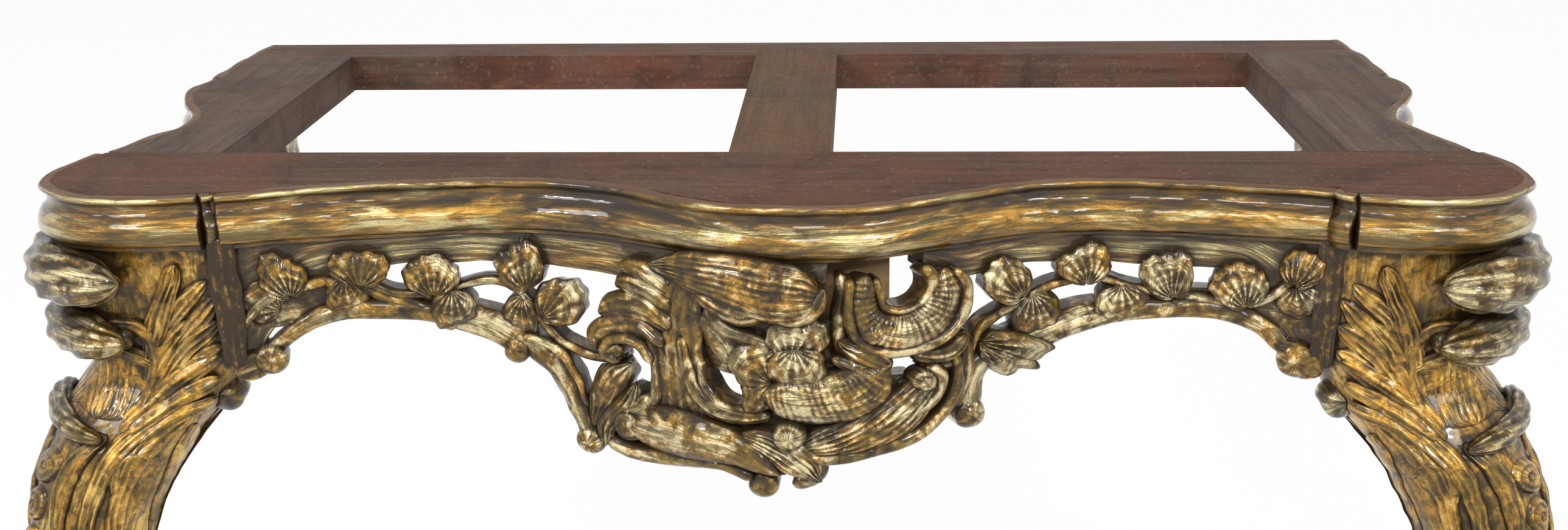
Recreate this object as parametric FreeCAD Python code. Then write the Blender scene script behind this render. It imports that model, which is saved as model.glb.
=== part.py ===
import FreeCAD
import Part
import math
import os

# Giltwood console table, without its slab.
# Lengths are millimetres. While it is built, the origin is the middle of the opening's front
# edge, at the top face of the frame: +X right, +Y back, +Z up. At the end everything moves so
# that the origin is the bottom centre of the table's box, on the floor.

Vector = FreeCAD.Vector
UP = Vector(0, 0, 1)

# Driving sizes of the whole table
table_height = 870.0
board_thickness = 46.0
side_rail_width = 142.5
opening_depth = 471.0
back_rail_width = 77.0
crossbar_width = 107.0
crossbar_offset = 4.0

# Plan of the board edge: half widths from the middle, and reaches in front of the opening
lobe_half = 736.0
lobe_width = 186.0
waist_depth = 62.0
bow_reach = 185.0
hollow_reach = 95.0
lobe_reach_share = 0.8333
rear_break_share = 0.7325

# Moulding glued to the board edge
moulding_height = 57.0
lip_reach = 11.0
lip_height = 6.5
lip_round_share = 0.72
cavetto_reach = 5.0
cavetto_drop_share = 0.28
torus_reach = 16.0
torus_top_share = 0.37
break_gap = 6.0

# Frame joints
tenon_thickness = 15.0
tenon_width_share = 0.745
tenon_length = 40.0
lap_length = 50.0
crossbar_tenon_share = 0.67
joint_clearance = 0.1

# Carved aprons, boards bent to the plan of the front
apron_thickness = 34.0
frieze_drop = 94.0
band_proud = 5.0
stem_proud = 8.0
leaf_proud = 12.0
shell_proud = 30.0
side_apron_thickness = 30.0
side_arch_rise = 40.0
side_apron_drop = 150.0
rear_frieze_drop = 92.0
layer_step = 3.0

# Plain board behind the cartouche, and glue blocks behind the aprons
brace_width = 128.0
brace_thickness = 22.0
brace_drop = 215.0
brace_right = 118.0
glue_block_length = 60.0
glue_block_size = 24.0
glue_block_place_shares = [-0.8, -0.52, 0.52, 0.8]

# Legs, measured from the middle of each leg's head. Their head, rolls and knee keep to the
# leg's own half width, which is a share of the lobe's. A higher table has longer shins.
# There are two of them, in front: a wall carries the back of the table.
leg_centre_share = 0.5645
leg_centre_reach_share = 0.516
leg_width_share = 0.468
leg_flare_share = 1.126
head_drop_share = 2.183
front_head_drop_share = 1.608
knee_drop_share = 4.94
front_neck_share = 0.484
upper_roll_share = 0.356
upper_roll_reach_share = 1.23
upper_roll_drop_share = 1.0224
lower_roll_share = 0.287
lower_roll_reach_share = 1.034
lower_roll_drop_share = 1.6427
collar_share = 0.195
collar_reach_share = 1.184
collar_drop_share = 2.7915
inner_knob_share = 0.264
inner_knob_drop_share = 2.607
inner_knob_setback = 30.0
toe_share = 0.241
toe_reach_share = 0.667
toe_lift = 3.0
leg_tenon_width_share = 0.69
leg_tenon_height = 25.0
leg_tenon_root = 20.0
overrun = 60.0

# Rear brackets, carved blocks under the rear of the side rails, in the legs' measures
bracket_place_share = 0.572
bracket_centre_share = 0.76
bracket_front_share = 0.58
bracket_back_gap = 10.0
bracket_setback_share = 0.2
bracket_width_share = 0.76
bracket_head_drop_share = 1.9
bracket_drop_share = 2.95
bracket_knob_share = 0.345
bracket_knob_setback = 7.0
bracket_knob_drop_share = 0.385
bracket_tip_share = 0.2

# Shares of the sizes above. Each row of the plan tables is a place along X or Y, then a
# place between two of the named half widths or reaches.
front_edge_shares = [
    (-1.0, 0.57), (-0.73, 0.15), (-0.455, -0.01), (-0.236, 0.36), (-0.10, 0.82), (0.055, 1.0),
    (0.21, 0.83), (0.345, 0.42), (0.56, 0.01), (0.78, 0.10), (1.0, 0.37),
]
lobe_edge_shares = [
    (0.0, 0.92), (0.27, 0.99), (0.54, 1.0), (0.81, 0.89), (0.96, 0.70), (1.0, 0.46),
    (0.96, 0.19), (0.91, 0.0),
]
side_edge_shares = [
    (0.61, 0.0), (0.37, 0.145), (0.06, 0.29), (0.0, 0.397), (0.23, 0.522), (0.66, 0.667),
    (0.97, 0.84), (0.81, 1.0),
]
rear_edge_shares = [(0.87, 0.0), (0.89, 0.5), (0.77, 1.0)]

# Leg sections: drop, outward shift and half width. The first go from the rails to the knee,
# in parts of the knee's drop, and the others down to the floor, in parts of the shin.
knee_section_shares = [
    (0.152, -0.3, 0.66), (0.279, -0.2, 0.72), (0.394, -0.29, 0.75), (0.477, -0.16, 0.95),
    (0.558, 0.04, 1.0), (0.627, 0.30, 0.87), (0.698, 0.55, 0.83), (0.803, 0.79, 0.77),
    (0.86, 0.86, 0.745), (1.0, 0.96, 0.70),
]
shin_section_shares = [
    (0.205, 1.0, 0.61), (0.4325, 0.81, 0.48), (0.66, 0.54, 0.38), (0.818, 0.38, 0.36),
    (0.921, 0.60, 0.48), (1.0, 0.67, 0.53),
]
# Bracket sections: part of the bracket's drop, outward shift and half width
bracket_section_shares = [
    (0.22, -0.3, 0.62), (0.45, -0.2, 0.72), (0.65, -0.3, 0.74), (0.8, -0.3, 0.62),
    (0.92, -0.2, 0.42), (1.0, -0.15, 0.28),
]
section_corner_share = 1.08
section_points = 8
roll_sweep_degrees = 110.0
quarter_turn = 90.0
knob_share = 0.8

# The carver's pattern squares: 55 of them reach from the middle to the break
pattern_square_count = 55
break_half = lobe_half - lobe_width
square = break_half / pattern_square_count

# Left vine, in pattern squares from the middle and down from the top face
left_band_shares = [
    (-54.8, -16.2), (-52.0, -15.6), (-49.0, -14.7), (-46.0, -13.7), (-43.0, -13.4),
    (-40.0, -13.7), (-36.0, -14.5), (-32.0, -15.8), (-28.5, -17.6), (-25.5, -19.4),
    (-22.5, -21.8), (-20.6, -24.5), (-19.5, -27.6),
]
left_band_width_share = 2.1
left_stem_shares = [
    (-52.0, -14.0), (-49.0, -11.4), (-45.5, -10.3), (-42.5, -10.6), (-40.0, -11.9),
    (-37.0, -12.6), (-33.5, -12.2), (-30.0, -11.4), (-27.5, -11.8), (-25.8, -13.0),
    (-24.5, -14.8), (-23.2, -17.0), (-21.4, -18.5), (-18.6, -19.2),
]
left_stem_width_share = 1.2
# Each leaf: place, half length, half width and tilt in degrees
left_leaf_shares = [
    (-50.5, -9.4, 2.5, 2.1, 80), (-42.6, -9.2, 2.5, 2.0, 10), (-43.2, -12.4, 2.0, 1.6, 30),
    (-35.3, -10.6, 2.3, 1.8, 5), (-26.2, -9.8, 2.6, 2.2, 75), (-33.0, -14.4, 1.9, 1.6, 60),
    (-27.0, -14.8, 2.1, 1.3, 85), (-21.8, -13.6, 2.8, 1.7, 40),
]
left_knob_shares = [(-51.3, -17.9, 1.9), (-26.9, -18.9, 1.5), (-19.5, -29.0, 1.5)]

# Right vine
right_band_shares = [
    (54.8, -16.4), (52.0, -15.6), (49.0, -14.4), (46.0, -13.6), (42.5, -13.4), (39.0, -13.6),
    (35.0, -14.3), (31.0, -15.6), (28.0, -17.0), (25.0, -18.6), (22.5, -20.8), (20.5, -24.0),
]
right_band_width_share = 2.1
right_stem_shares = [
    (52.0, -10.0), (50.0, -11.6), (47.0, -12.7), (43.5, -12.5), (40.0, -12.2), (36.5, -11.9),
    (33.5, -10.9), (31.0, -10.7), (28.5, -11.4), (26.0, -12.4), (23.5, -13.6), (21.4, -15.0),
    (20.3, -17.0), (19.8, -19.4),
]
right_stem_width_share = 1.2
right_leaf_shares = [
    (53.0, -8.6, 2.4, 2.0, 90), (52.6, -12.0, 1.8, 1.6, 80), (46.4, -10.8, 2.2, 2.0, 70),
    (39.2, -10.0, 2.3, 2.0, 80), (31.6, -9.0, 2.3, 1.9, 20), (35.4, -13.0, 2.3, 1.7, 10),
    (23.8, -10.6, 2.8, 1.9, 125), (27.2, -13.9, 2.1, 1.9, 100), (25.2, -17.8, 3.6, 1.7, 165),
]
right_knob_shares = [(52.6, -18.3, 1.8), (20.2, -24.4, 1.6)]

# Cartouche: its outline, its openings and its raised carving
cartouche_outline_shares = [
    (-15.6, -8.6), (-15.4, -11.6), (-17.8, -13.6), (-18.9, -16.4), (-18.9, -19.4),
    (-18.6, -23.0), (-18.2, -27.0), (-17.0, -29.4), (-13.5, -30.2), (-8.0, -29.4),
    (-3.0, -29.3), (-1.0, -31.4), (1.2, -30.4), (4.4, -28.6), (6.4, -27.0), (11.0, -26.8),
    (15.6, -25.8), (18.4, -23.0), (18.8, -19.4), (17.2, -16.4), (19.0, -13.4), (19.4, -10.8),
    (18.2, -8.4),
]
cartouche_hole_shares = [
    (-14.4, -20.0, 1.3, 1.9, 25), (-4.0, -19.8, 1.5, 1.2, 60), (13.6, -9.7, 1.9, 1.9, 0),
    (12.9, -17.3, 1.2, 1.0, 90),
]
# Each raised shape: place, half length, half width, tilt in degrees
plume_shares = (-1.5, -9.0, 7.6, 2.7, -14)
great_shell_shares = (6.0, -19.8, 6.2, 3.0, 8)
centre_leaf_shares = (3.2, -15.6, 3.4, 2.6, 100)
acanthus_shares = (-14.6, -14.6, 4.4, 2.9, 60)
wave_band_shares = [(-15.8, -26.6), (-11.0, -27.5), (-5.5, -26.6), (-0.5, -27.6)]
wave_band_width_share = 3.6
stalk_shares = [(-9.0, -9.6), (-10.6, -13.0), (-10.4, -18.0), (-9.8, -24.0)]
stalk_width_share = 3.6
wing_shares = [(1.9, -24.2), (6.0, -25.0), (11.0, -24.4), (15.2, -22.6), (16.6, -19.6)]
wing_width_share = 3.4
scroll_shares = [
    (8.4, -8.6), (8.6, -12.0), (10.6, -13.9), (13.6, -14.0), (16.6, -12.4), (17.2, -9.8),
    (16.2, -8.6),
]
scroll_width_share = 3.1


# Places that follow from the sizes
lobe_reach = lobe_reach_share * lobe_width
waist_half = lobe_half - waist_depth
opening_half = lobe_half - side_rail_width
side_rail_waist = waist_half - opening_half
tenon_width = tenon_width_share * side_rail_waist
rear_break = rear_break_share * opening_depth
leg_half_width = leg_width_share * lobe_width
front_tenon_width = leg_tenon_width_share * leg_half_width
leg_centre_half = break_half + leg_centre_share * lobe_width
leg_centre_reach = leg_centre_reach_share * lobe_reach
bracket_half = opening_half + bracket_place_share * side_rail_width
bracket_centre = bracket_centre_share * rear_break
bracket_inner = opening_half + bracket_setback_share * side_rail_width
bracket_front = bracket_front_share * rear_break
bracket_back = rear_break - bracket_back_gap
bracket_half_width = bracket_width_share * leg_half_width
bracket_head_drop = bracket_head_drop_share * leg_half_width
bracket_drop = bracket_drop_share * leg_half_width
head_drop = head_drop_share * leg_half_width
front_head_drop = front_head_drop_share * leg_half_width
knee_drop = knee_drop_share * leg_half_width
shin_length = table_height - knee_drop


def flat_curve(points):
    """A smooth curve through the points."""
    curve = Part.BSplineCurve()
    curve.interpolate(points)
    return curve


def board_edge(rows, place):
    return flat_curve([place(*row) for row in rows])


def front_place(x_share, y_share):
    return Vector(x_share * break_half, -hollow_reach - y_share * (bow_reach - hollow_reach), 0)


def lobe_place(x_share, y_share):
    return Vector(break_half + x_share * (lobe_half - break_half), -y_share * lobe_reach, 0)


def side_place(x_share, y_share):
    return Vector(waist_half + x_share * (lobe_half - waist_half), y_share * rear_break, 0)


def rear_place(x_share, y_share):
    run = opening_depth + back_rail_width - rear_break
    return Vector(waist_half + x_share * (lobe_half - waist_half), rear_break + y_share * run, 0)


front_edge = board_edge(front_edge_shares, front_place)
lobe_edge = board_edge(lobe_edge_shares, lobe_place)
side_edge = board_edge(side_edge_shares, side_place)
rear_edge = board_edge(rear_edge_shares, rear_place)
outline_samples = 24


def offset_points(curve, distance, samples=outline_samples):
    """Points at a distance to the right of the curve's run, which is its outer side."""
    points = []
    for step in range(samples + 1):
        at = curve.FirstParameter + (curve.LastParameter - curve.FirstParameter) * step / samples
        tangent = curve.tangent(at)[0]
        outward = Vector(tangent.y, -tangent.x, 0)
        points.append(curve.value(at) + outward * distance)
    return points


def prism(edges, top, bottom):
    """A solid under a closed line of edges, from one height down to another."""
    wire = Part.Wire(edges)
    face = Part.Face(wire)
    face.translate(Vector(0, 0, bottom))
    return face.extrude(Vector(0, 0, top - bottom))


def shell(curve, outer, inner, top, bottom):
    """A board bent to a plan curve, between two distances from it."""
    outside = offset_points(curve, outer)
    inside = offset_points(curve, inner)
    edges = [
        flat_curve(outside).toShape(),
        Part.makeLine(outside[-1], inside[-1]),
        flat_curve(list(reversed(inside))).toShape(),
        Part.makeLine(inside[0], outside[0]),
    ]
    return prism(edges, top, bottom)


def box(low_x, low_y, low_z, high_x, high_y, high_z):
    size = Vector(high_x - low_x, high_y - low_y, high_z - low_z)
    return Part.makeBox(size.x, size.y, size.z, Vector(low_x, low_y, low_z))


def mirrored(shape):
    return shape.mirror(Vector(0, 0, 0), Vector(1, 0, 0))


def joined(shapes):
    """One solid out of several that overlap, added one after another."""
    solid = shapes[0]
    for shape in shapes[1:]:
        solid = solid.fuse(shape)
    return solid


# The plan of the whole frame, and its boards
back = opening_depth + back_rail_width
plan_reach = lobe_half + overrun
plan_front = -bow_reach - overrun


def mirrored_edge(curve):
    points = [Vector(-p.x, p.y, 0) for p in reversed(offset_points(curve, 0))]
    return flat_curve(points)


def plan_edges():
    runs = [
        offset_points(front_edge, 0), offset_points(lobe_edge, 0),
        offset_points(side_edge, 0), offset_points(rear_edge, 0),
        offset_points(mirrored_edge(rear_edge), 0), offset_points(mirrored_edge(side_edge), 0),
        offset_points(mirrored_edge(lobe_edge), 0),
    ]
    edges = []
    for index, run in enumerate(runs):
        edges.append(flat_curve(run).toShape())
        following = runs[(index + 1) % len(runs)]
        if run[-1].distanceToPoint(following[0]) > joint_clearance:
            edges.append(Part.makeLine(run[-1], following[0]))
    return edges


def plan_prism(top, bottom):
    return prism(plan_edges(), top, bottom)


def tenon(end_y, direction, grow=0.0):
    """A tenon on the right side rail, at one of its ends."""
    middle_x = (opening_half + waist_half) / 2
    half = tenon_width / 2 + grow
    top = -(board_thickness - tenon_thickness) / 2 + grow
    reach = end_y + direction * (tenon_length + grow)
    low_y = min(end_y, reach)
    high_y = max(end_y, reach)
    return box(middle_x - half, low_y, top - tenon_thickness - 2 * grow, middle_x + half, high_y, top)


def leg_tenon(centre_x, centre_y, width, grow=0.0):
    half = width / 2 + grow
    return box(centre_x - half, centre_y - half, -board_thickness - leg_tenon_root,
               centre_x + half, centre_y + half, -board_thickness + leg_tenon_height + grow)


def crossbar_tenon(grow=0.0):
    """The tenon at the front end of the crossbar, in the middle of the board's thickness."""
    half_width = crossbar_width * crossbar_tenon_share / 2 + grow
    half_height = tenon_thickness / 2 + grow
    middle = -board_thickness / 2
    return box(crossbar_offset - half_width, -tenon_length - grow, middle - half_height,
               crossbar_offset + half_width, 0, middle + half_height)


def frame_boards():
    """The five bare boards of the top frame, with their joints."""
    plate = plan_prism(0, -board_thickness)
    low = -board_thickness - overrun
    front = plate.common(box(-plan_reach, plan_front, low, plan_reach, 0, overrun))
    rear = plate.common(box(-plan_reach, opening_depth, low, plan_reach, back + overrun, overrun))
    side = plate.common(box(opening_half, 0, low, plan_reach, opening_depth, overrun))
    front_mortise = tenon(0, -1, joint_clearance)
    rear_mortise = tenon(opening_depth, 1, joint_clearance)
    front = front.cut([front_mortise, mirrored(front_mortise)])
    rear = rear.cut([rear_mortise, mirrored(rear_mortise)])
    side = side.fuse([tenon(0, -1), tenon(opening_depth, 1)])

    bar_left = crossbar_offset - crossbar_width / 2
    bar_right = crossbar_offset + crossbar_width / 2
    half_depth = -board_thickness / 2
    bar = box(bar_left, 0, -board_thickness, bar_right, opening_depth, 0)
    lap = box(bar_left, opening_depth, half_depth, bar_right, opening_depth + lap_length, 0)
    bar = bar.fuse([lap, crossbar_tenon()])
    front = front.cut(crossbar_tenon(joint_clearance))
    rear = rear.cut(lap)

    for turn in (1, -1):
        front = front.cut(leg_tenon(turn * leg_centre_half, -leg_centre_reach, front_tenon_width,
                                    joint_clearance))
    side = side.cut(leg_tenon(bracket_half, bracket_centre, tenon_width, joint_clearance))
    return {
        "front_rail": front, "back_rail": rear, "side_rail_right": side,
        "side_rail_left": mirrored(side), "centre_crossbar": bar,
    }


def moulding_profile(start, outward):
    """The closed profile at the start of a run: lip, cavetto and torus."""
    def at(reach, drop):
        return start + outward * reach - UP * drop

    waist_drop = moulding_height * cavetto_drop_share
    torus_top = moulding_height * torus_top_share
    torus_middle = (torus_top + moulding_height) / 2
    return Part.Wire([
        Part.makeLine(at(0, moulding_height), at(0, 0)),
        Part.makeLine(at(0, 0), at(lip_reach * lip_round_share, 0)),
        Part.Arc(at(lip_reach * lip_round_share, 0), at(lip_reach, lip_height / 2),
                 at(lip_reach * lip_round_share, lip_height)).toShape(),
        Part.Arc(at(lip_reach * lip_round_share, lip_height), at(cavetto_reach, waist_drop),
                 at(lip_reach * lip_round_share, torus_top)).toShape(),
        Part.Arc(at(lip_reach * lip_round_share, torus_top), at(torus_reach, torus_middle),
                 at(cavetto_reach, moulding_height)).toShape(),
        Part.makeLine(at(cavetto_reach, moulding_height), at(0, moulding_height)),
    ])


def moulding(curve):
    points = offset_points(curve, 0)
    path = flat_curve(points)
    tangent = path.tangent(path.FirstParameter)[0]
    outward = Vector(tangent.y, -tangent.x, 0)
    profile = moulding_profile(points[0], outward)
    return Part.Wire([path.toShape()]).makePipeShell([profile], True, False)


def mouldings():
    """The strips, each trimmed to leave a dark break beside its neighbour."""
    half_gap = break_gap / 2
    high = overrun
    low = -moulding_height - overrun
    lobe_start = break_half + half_gap
    front = moulding(front_edge).common(box(half_gap - break_half, plan_front, low,
                                            break_half - half_gap, 0, high))
    corner = moulding(lobe_edge).common(box(lobe_start, plan_front, low, plan_reach, -half_gap, high))
    side = moulding(side_edge).common(box(opening_half, half_gap, low, plan_reach,
                                          rear_break - half_gap, high))
    rear = moulding(rear_edge).common(box(opening_half, rear_break + half_gap, low, plan_reach,
                                          back, high))
    return {
        "moulding_front": front,
        "moulding_corner_right": corner, "moulding_corner_left": mirrored(corner),
        "moulding_side_right": side, "moulding_side_left": mirrored(side),
        "moulding_rear_right": rear, "moulding_rear_left": mirrored(rear),
    }


def leg_section(drop, shift_share, width_share, flare, half_width):
    """One closed section of a leg, square to Z. The leg's own +X points out of the table."""
    points = []
    for step in range(section_points):
        angle = math.radians((step + 2) * quarter_turn / 2)
        reach = width_share * half_width * (1 if step % 2 else section_corner_share)
        points.append(Vector(shift_share * flare + reach * math.cos(angle),
                             reach * math.sin(angle), -drop))
    curve = Part.BSplineCurve()
    curve.interpolate(points, PeriodicFlag=True)
    return Part.Wire([curve.toShape()])


def roll(size, reach, drop, centre_x=0.0):
    """A carved roll that wraps the outer side of a leg, with a knob at each end."""
    ring = reach - size
    start = -roll_sweep_degrees / 2
    centre = Vector(centre_x, 0, -drop)
    body = Part.makeTorus(ring, size, Vector(0, 0, 0), UP, -2 * quarter_turn, 2 * quarter_turn,
                          roll_sweep_degrees)
    body.rotate(Vector(0, 0, 0), UP, start)
    body.translate(centre)
    knobs = []
    for degrees in (start, -start):
        turn = math.radians(degrees)
        place = centre + Vector(math.cos(turn), math.sin(turn), 0) * ring
        knobs.append(Part.makeSphere(size * knob_share, place))
    return [body] + knobs


def head_rolls(narrow=0.0):
    """The two rolls round the head of a leg, or of a bracket that is narrower."""
    return (roll(upper_roll_share * leg_half_width, upper_roll_reach_share * leg_half_width - narrow,
                 upper_roll_drop_share * leg_half_width)
            + roll(lower_roll_share * leg_half_width,
                   lower_roll_reach_share * leg_half_width - narrow,
                   lower_roll_drop_share * leg_half_width))


def leg_pieces():
    """A cabriole leg with its rolls, collar and toe, in its own frame."""
    flare = leg_flare_share * leg_half_width
    sections = [leg_section(share * knee_drop, *row, flare, leg_half_width)
                for share, *row in knee_section_shares]
    sections += [leg_section(knee_drop + share * shin_length, *row, flare, leg_half_width)
                 for share, *row in shin_section_shares]
    collar = roll(collar_share * leg_half_width, collar_reach_share * leg_half_width,
                  collar_drop_share * leg_half_width)
    size = toe_share * leg_half_width
    toe = roll(size, toe_reach_share * leg_half_width, table_height - size - toe_lift,
               shin_section_shares[-1][1] * flare)
    return [Part.makeLoft(sections, True, False)] + head_rolls() + collar + toe


def bracket_pieces():
    """A bracket's body, which tapers to a round tip, and its rolls, in its own frame."""
    sections = [leg_section(share * bracket_drop, *row, bracket_half_width, bracket_half_width)
                for share, *row in bracket_section_shares]
    tip_shift = bracket_section_shares[-1][1] * bracket_half_width
    tip = Part.makeSphere(bracket_tip_share * leg_half_width, Vector(tip_shift, 0, -bracket_drop))
    return ([Part.makeLoft(sections, True, False), tip]
            + head_rolls(leg_half_width - bracket_half_width))


def turned(pieces, degrees, centre_x, centre_y):
    """A leg's pieces turned about Z to face out, and moved to their place."""
    for piece in pieces:
        piece.rotate(Vector(0, 0, 0), UP, degrees)
        piece.translate(Vector(centre_x, centre_y, 0))
    return pieces


def legs():
    under = plan_prism(-board_thickness, -head_drop)
    upper = plan_prism(-board_thickness, -front_head_drop)
    upper = upper.common(box(break_half, plan_front, -front_head_drop, plan_reach, 0, 0))
    neck_half = break_half + front_neck_share * lobe_width
    neck = under.common(box(break_half, plan_front, -head_drop, neck_half, 0, 0))
    front_head = upper.fuse(neck).removeSplitter()
    knob_y = front_place(1.0, front_edge_shares[-1][1]).y + inner_knob_setback
    knob_size = inner_knob_share * leg_half_width
    knob = Part.makeSphere(knob_size, Vector(break_half + knob_size, knob_y,
                                             -inner_knob_drop_share * leg_half_width))
    front = turned(leg_pieces(), -quarter_turn / 2, leg_centre_half, -leg_centre_reach)
    front = joined([front_head] + front
                   + [knob, leg_tenon(leg_centre_half, -leg_centre_reach, front_tenon_width)])
    return {"leg_front_right": front, "leg_front_left": mirrored(front)}


def rear_brackets():
    """Under each side rail's rear: a head block, its rolls and drop, and a scroll inside."""
    head = plan_prism(-board_thickness, -bracket_head_drop)
    head = head.common(box(bracket_inner, bracket_front, -bracket_head_drop, plan_reach,
                           bracket_back, 0))
    size = bracket_knob_share * leg_half_width
    knob = Part.makeSphere(size, Vector(opening_half + bracket_knob_setback + size,
                                        bracket_front + size * knob_share,
                                        -board_thickness - bracket_knob_drop_share * leg_half_width))
    pieces = turned(bracket_pieces(), 0, bracket_half, bracket_centre)
    bracket = joined([head] + pieces + [knob, leg_tenon(bracket_half, bracket_centre, tenon_width)])
    return {"rear_bracket_right": bracket, "rear_bracket_left": mirrored(bracket)}


def pattern_point(x_share, z_share):
    return Vector(x_share * square, 0, z_share * square)


def through_front(wire):
    """A solid bar through the front, whose section is a closed line in the pattern."""
    face = Part.Face(wire)
    depth = bow_reach + 2 * overrun
    face.translate(Vector(0, -depth, 0))
    return face.extrude(Vector(0, depth, 0))


def ribbon(shares, width_share):
    """A band of steady width along a line of pattern points."""
    curve = flat_curve([pattern_point(*row) for row in shares])
    half = width_share * square / 2
    left = []
    right = []
    for step in range(outline_samples + 1):
        at = curve.FirstParameter + (curve.LastParameter - curve.FirstParameter) * step / outline_samples
        tangent = curve.tangent(at)[0]
        across = Vector(-tangent.z, 0, tangent.x)
        left.append(curve.value(at) + across * half)
        right.append(curve.value(at) - across * half)
    right.reverse()
    return through_front(Part.Wire([
        flat_curve(left).toShape(), Part.makeLine(left[-1], right[0]),
        flat_curve(right).toShape(), Part.makeLine(right[-1], left[0]),
    ]))


def oval(x_share, z_share, length_share, width_share, tilt):
    centre = pattern_point(x_share, z_share)
    tilt = math.radians(tilt)
    along = Vector(math.cos(tilt), 0, math.sin(tilt)) * length_share * square
    across = Vector(-math.sin(tilt), 0, math.cos(tilt)) * width_share * square
    points = []
    for step in range(section_points):
        angle = math.radians(step * quarter_turn / 2)
        points.append(centre + along * math.cos(angle) + across * math.sin(angle))
    curve = Part.BSplineCurve()
    curve.interpolate(points, PeriodicFlag=True)
    return through_front(Part.Wire([curve.toShape()]))


def carved_layer(bars, proud, thinner=0.0):
    """Bars through the front, kept only where they lie within a bent board."""
    board = shell(front_edge, proud, thinner - apron_thickness, -board_thickness, -table_height)
    return joined(bars).common(board)


def clear_of_moulding(solid):
    """Nothing of the carving reaches into the moulding above it."""
    above = shell(front_edge, overrun, 0, overrun, -moulding_height)
    return solid.cut(above)


def vine_apron(band, band_width, stem, stem_width, leaves, knobs, low_x, high_x):
    frieze = box(low_x, plan_front, -frieze_drop, high_x, 0, -board_thickness)
    rounds = [oval(*leaf) for leaf in leaves]
    rounds += [oval(x_share, z_share, size_share, size_share, 0)
               for x_share, z_share, size_share in knobs]
    apron = joined([
        carved_layer([frieze], 0),
        carved_layer([ribbon(band, band_width)], band_proud, layer_step),
        carved_layer([ribbon(stem, stem_width)], stem_proud, 2 * layer_step),
        carved_layer(rounds, leaf_proud, 3 * layer_step),
    ])
    apron = apron.common(box(low_x, plan_front, -table_height, high_x, 0, -board_thickness))
    return clear_of_moulding(apron)


def cartouche_bar():
    """The outline of the cartouche, from its foot up to the boards, as a bar."""
    outline = flat_curve([pattern_point(*row) for row in cartouche_outline_shares])
    start = outline.value(outline.FirstParameter)
    end = outline.value(outline.LastParameter)
    top = -board_thickness
    return through_front(Part.Wire([
        outline.toShape(), Part.makeLine(end, Vector(end.x, 0, top)),
        Part.makeLine(Vector(end.x, 0, top), Vector(start.x, 0, top)),
        Part.makeLine(Vector(start.x, 0, top), start),
    ]))


def cartouche(bar):
    low_rows = (plume_shares, acanthus_shares, centre_leaf_shares)
    ribbons = [ribbon(wing_shares, wing_width_share), ribbon(stalk_shares, stalk_width_share),
               ribbon(scroll_shares, scroll_width_share)]
    high_bars = [oval(*great_shell_shares), ribbon(wave_band_shares, wave_band_width_share)]
    middle_proud = (shell_proud + leaf_proud) / 2
    carving = joined([
        carved_layer([bar], band_proud),
        carved_layer([oval(*row) for row in low_rows] + ribbons, middle_proud, layer_step),
        carved_layer(high_bars, shell_proud, 2 * layer_step),
    ])
    for row in cartouche_hole_shares:
        carving = carving.cut(oval(*row))
    return clear_of_moulding(carving)


def aprons():
    """The pierced front aprons, the cartouche between them, and the plain board behind."""
    bar = cartouche_bar()
    centre = cartouche(bar)
    left = vine_apron(left_band_shares, left_band_width_share, left_stem_shares,
                      left_stem_width_share, left_leaf_shares, left_knob_shares, -break_half, 0)
    right = vine_apron(right_band_shares, right_band_width_share, right_stem_shares,
                       right_stem_width_share, right_leaf_shares, right_knob_shares, 0, break_half)
    brace_left = brace_right - brace_width
    brace_front = -hollow_reach - apron_thickness
    brace = box(brace_left, brace_front, -brace_drop, brace_right, brace_front + brace_thickness,
                -board_thickness)
    return {
        "cartouche": centre, "vine_apron_left": left.cut(bar).cut(centre),
        "vine_apron_right": right.cut(bar).cut(centre), "centre_brace": brace,
    }


def side_panels(front_leg, bracket):
    """Side aprons, coped to the legs and the brackets, and the plain friezes behind those."""
    low = -side_apron_drop
    side = shell(side_edge, 0, -side_apron_thickness, -board_thickness, low)
    side = side.common(box(0, 0, low, plan_reach, bracket_front, 0))
    arch_top = low + side_arch_rise
    start = Vector(0, 0, low - board_thickness)
    middle = Vector(0, bracket_front / 2, arch_top)
    end = Vector(0, bracket_front, low - board_thickness)
    arch = Part.Face(Part.Wire([Part.Arc(start, middle, end).toShape(), Part.makeLine(end, start)]))
    side = side.cut(arch.extrude(Vector(plan_reach, 0, 0)))
    side = side.cut([front_leg, bracket])
    rear = shell(rear_edge, 0, -side_apron_thickness, -board_thickness, -rear_frieze_drop)
    rear = rear.common(box(0, bracket_back, -rear_frieze_drop, plan_reach, back, 0))
    return {
        "side_apron_right": side, "side_apron_left": mirrored(side),
        "rear_frieze_right": rear, "rear_frieze_left": mirrored(rear),
    }


def glue_blocks():
    """Small blocks in the corner between the front rail and the backs of the aprons."""
    low = -board_thickness - glue_block_size
    strip = shell(front_edge, -apron_thickness, -apron_thickness - glue_block_size,
                  -board_thickness, low)
    blocks = []
    for place_share in glue_block_place_shares:
        middle = place_share * break_half
        blocks.append(strip.common(box(middle - glue_block_length / 2, plan_front, low,
                                       middle + glue_block_length / 2, 0, 0)))
    return Part.Compound(blocks)


os.makedirs("parts", exist_ok=True)
nodes = {}
nodes.update(frame_boards())
nodes.update(mouldings())
nodes.update(legs())
nodes.update(rear_brackets())
nodes.update(aprons())
nodes.update(side_panels(nodes["leg_front_right"], nodes["rear_bracket_right"]))
nodes["glue_blocks"] = glue_blocks()

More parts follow.
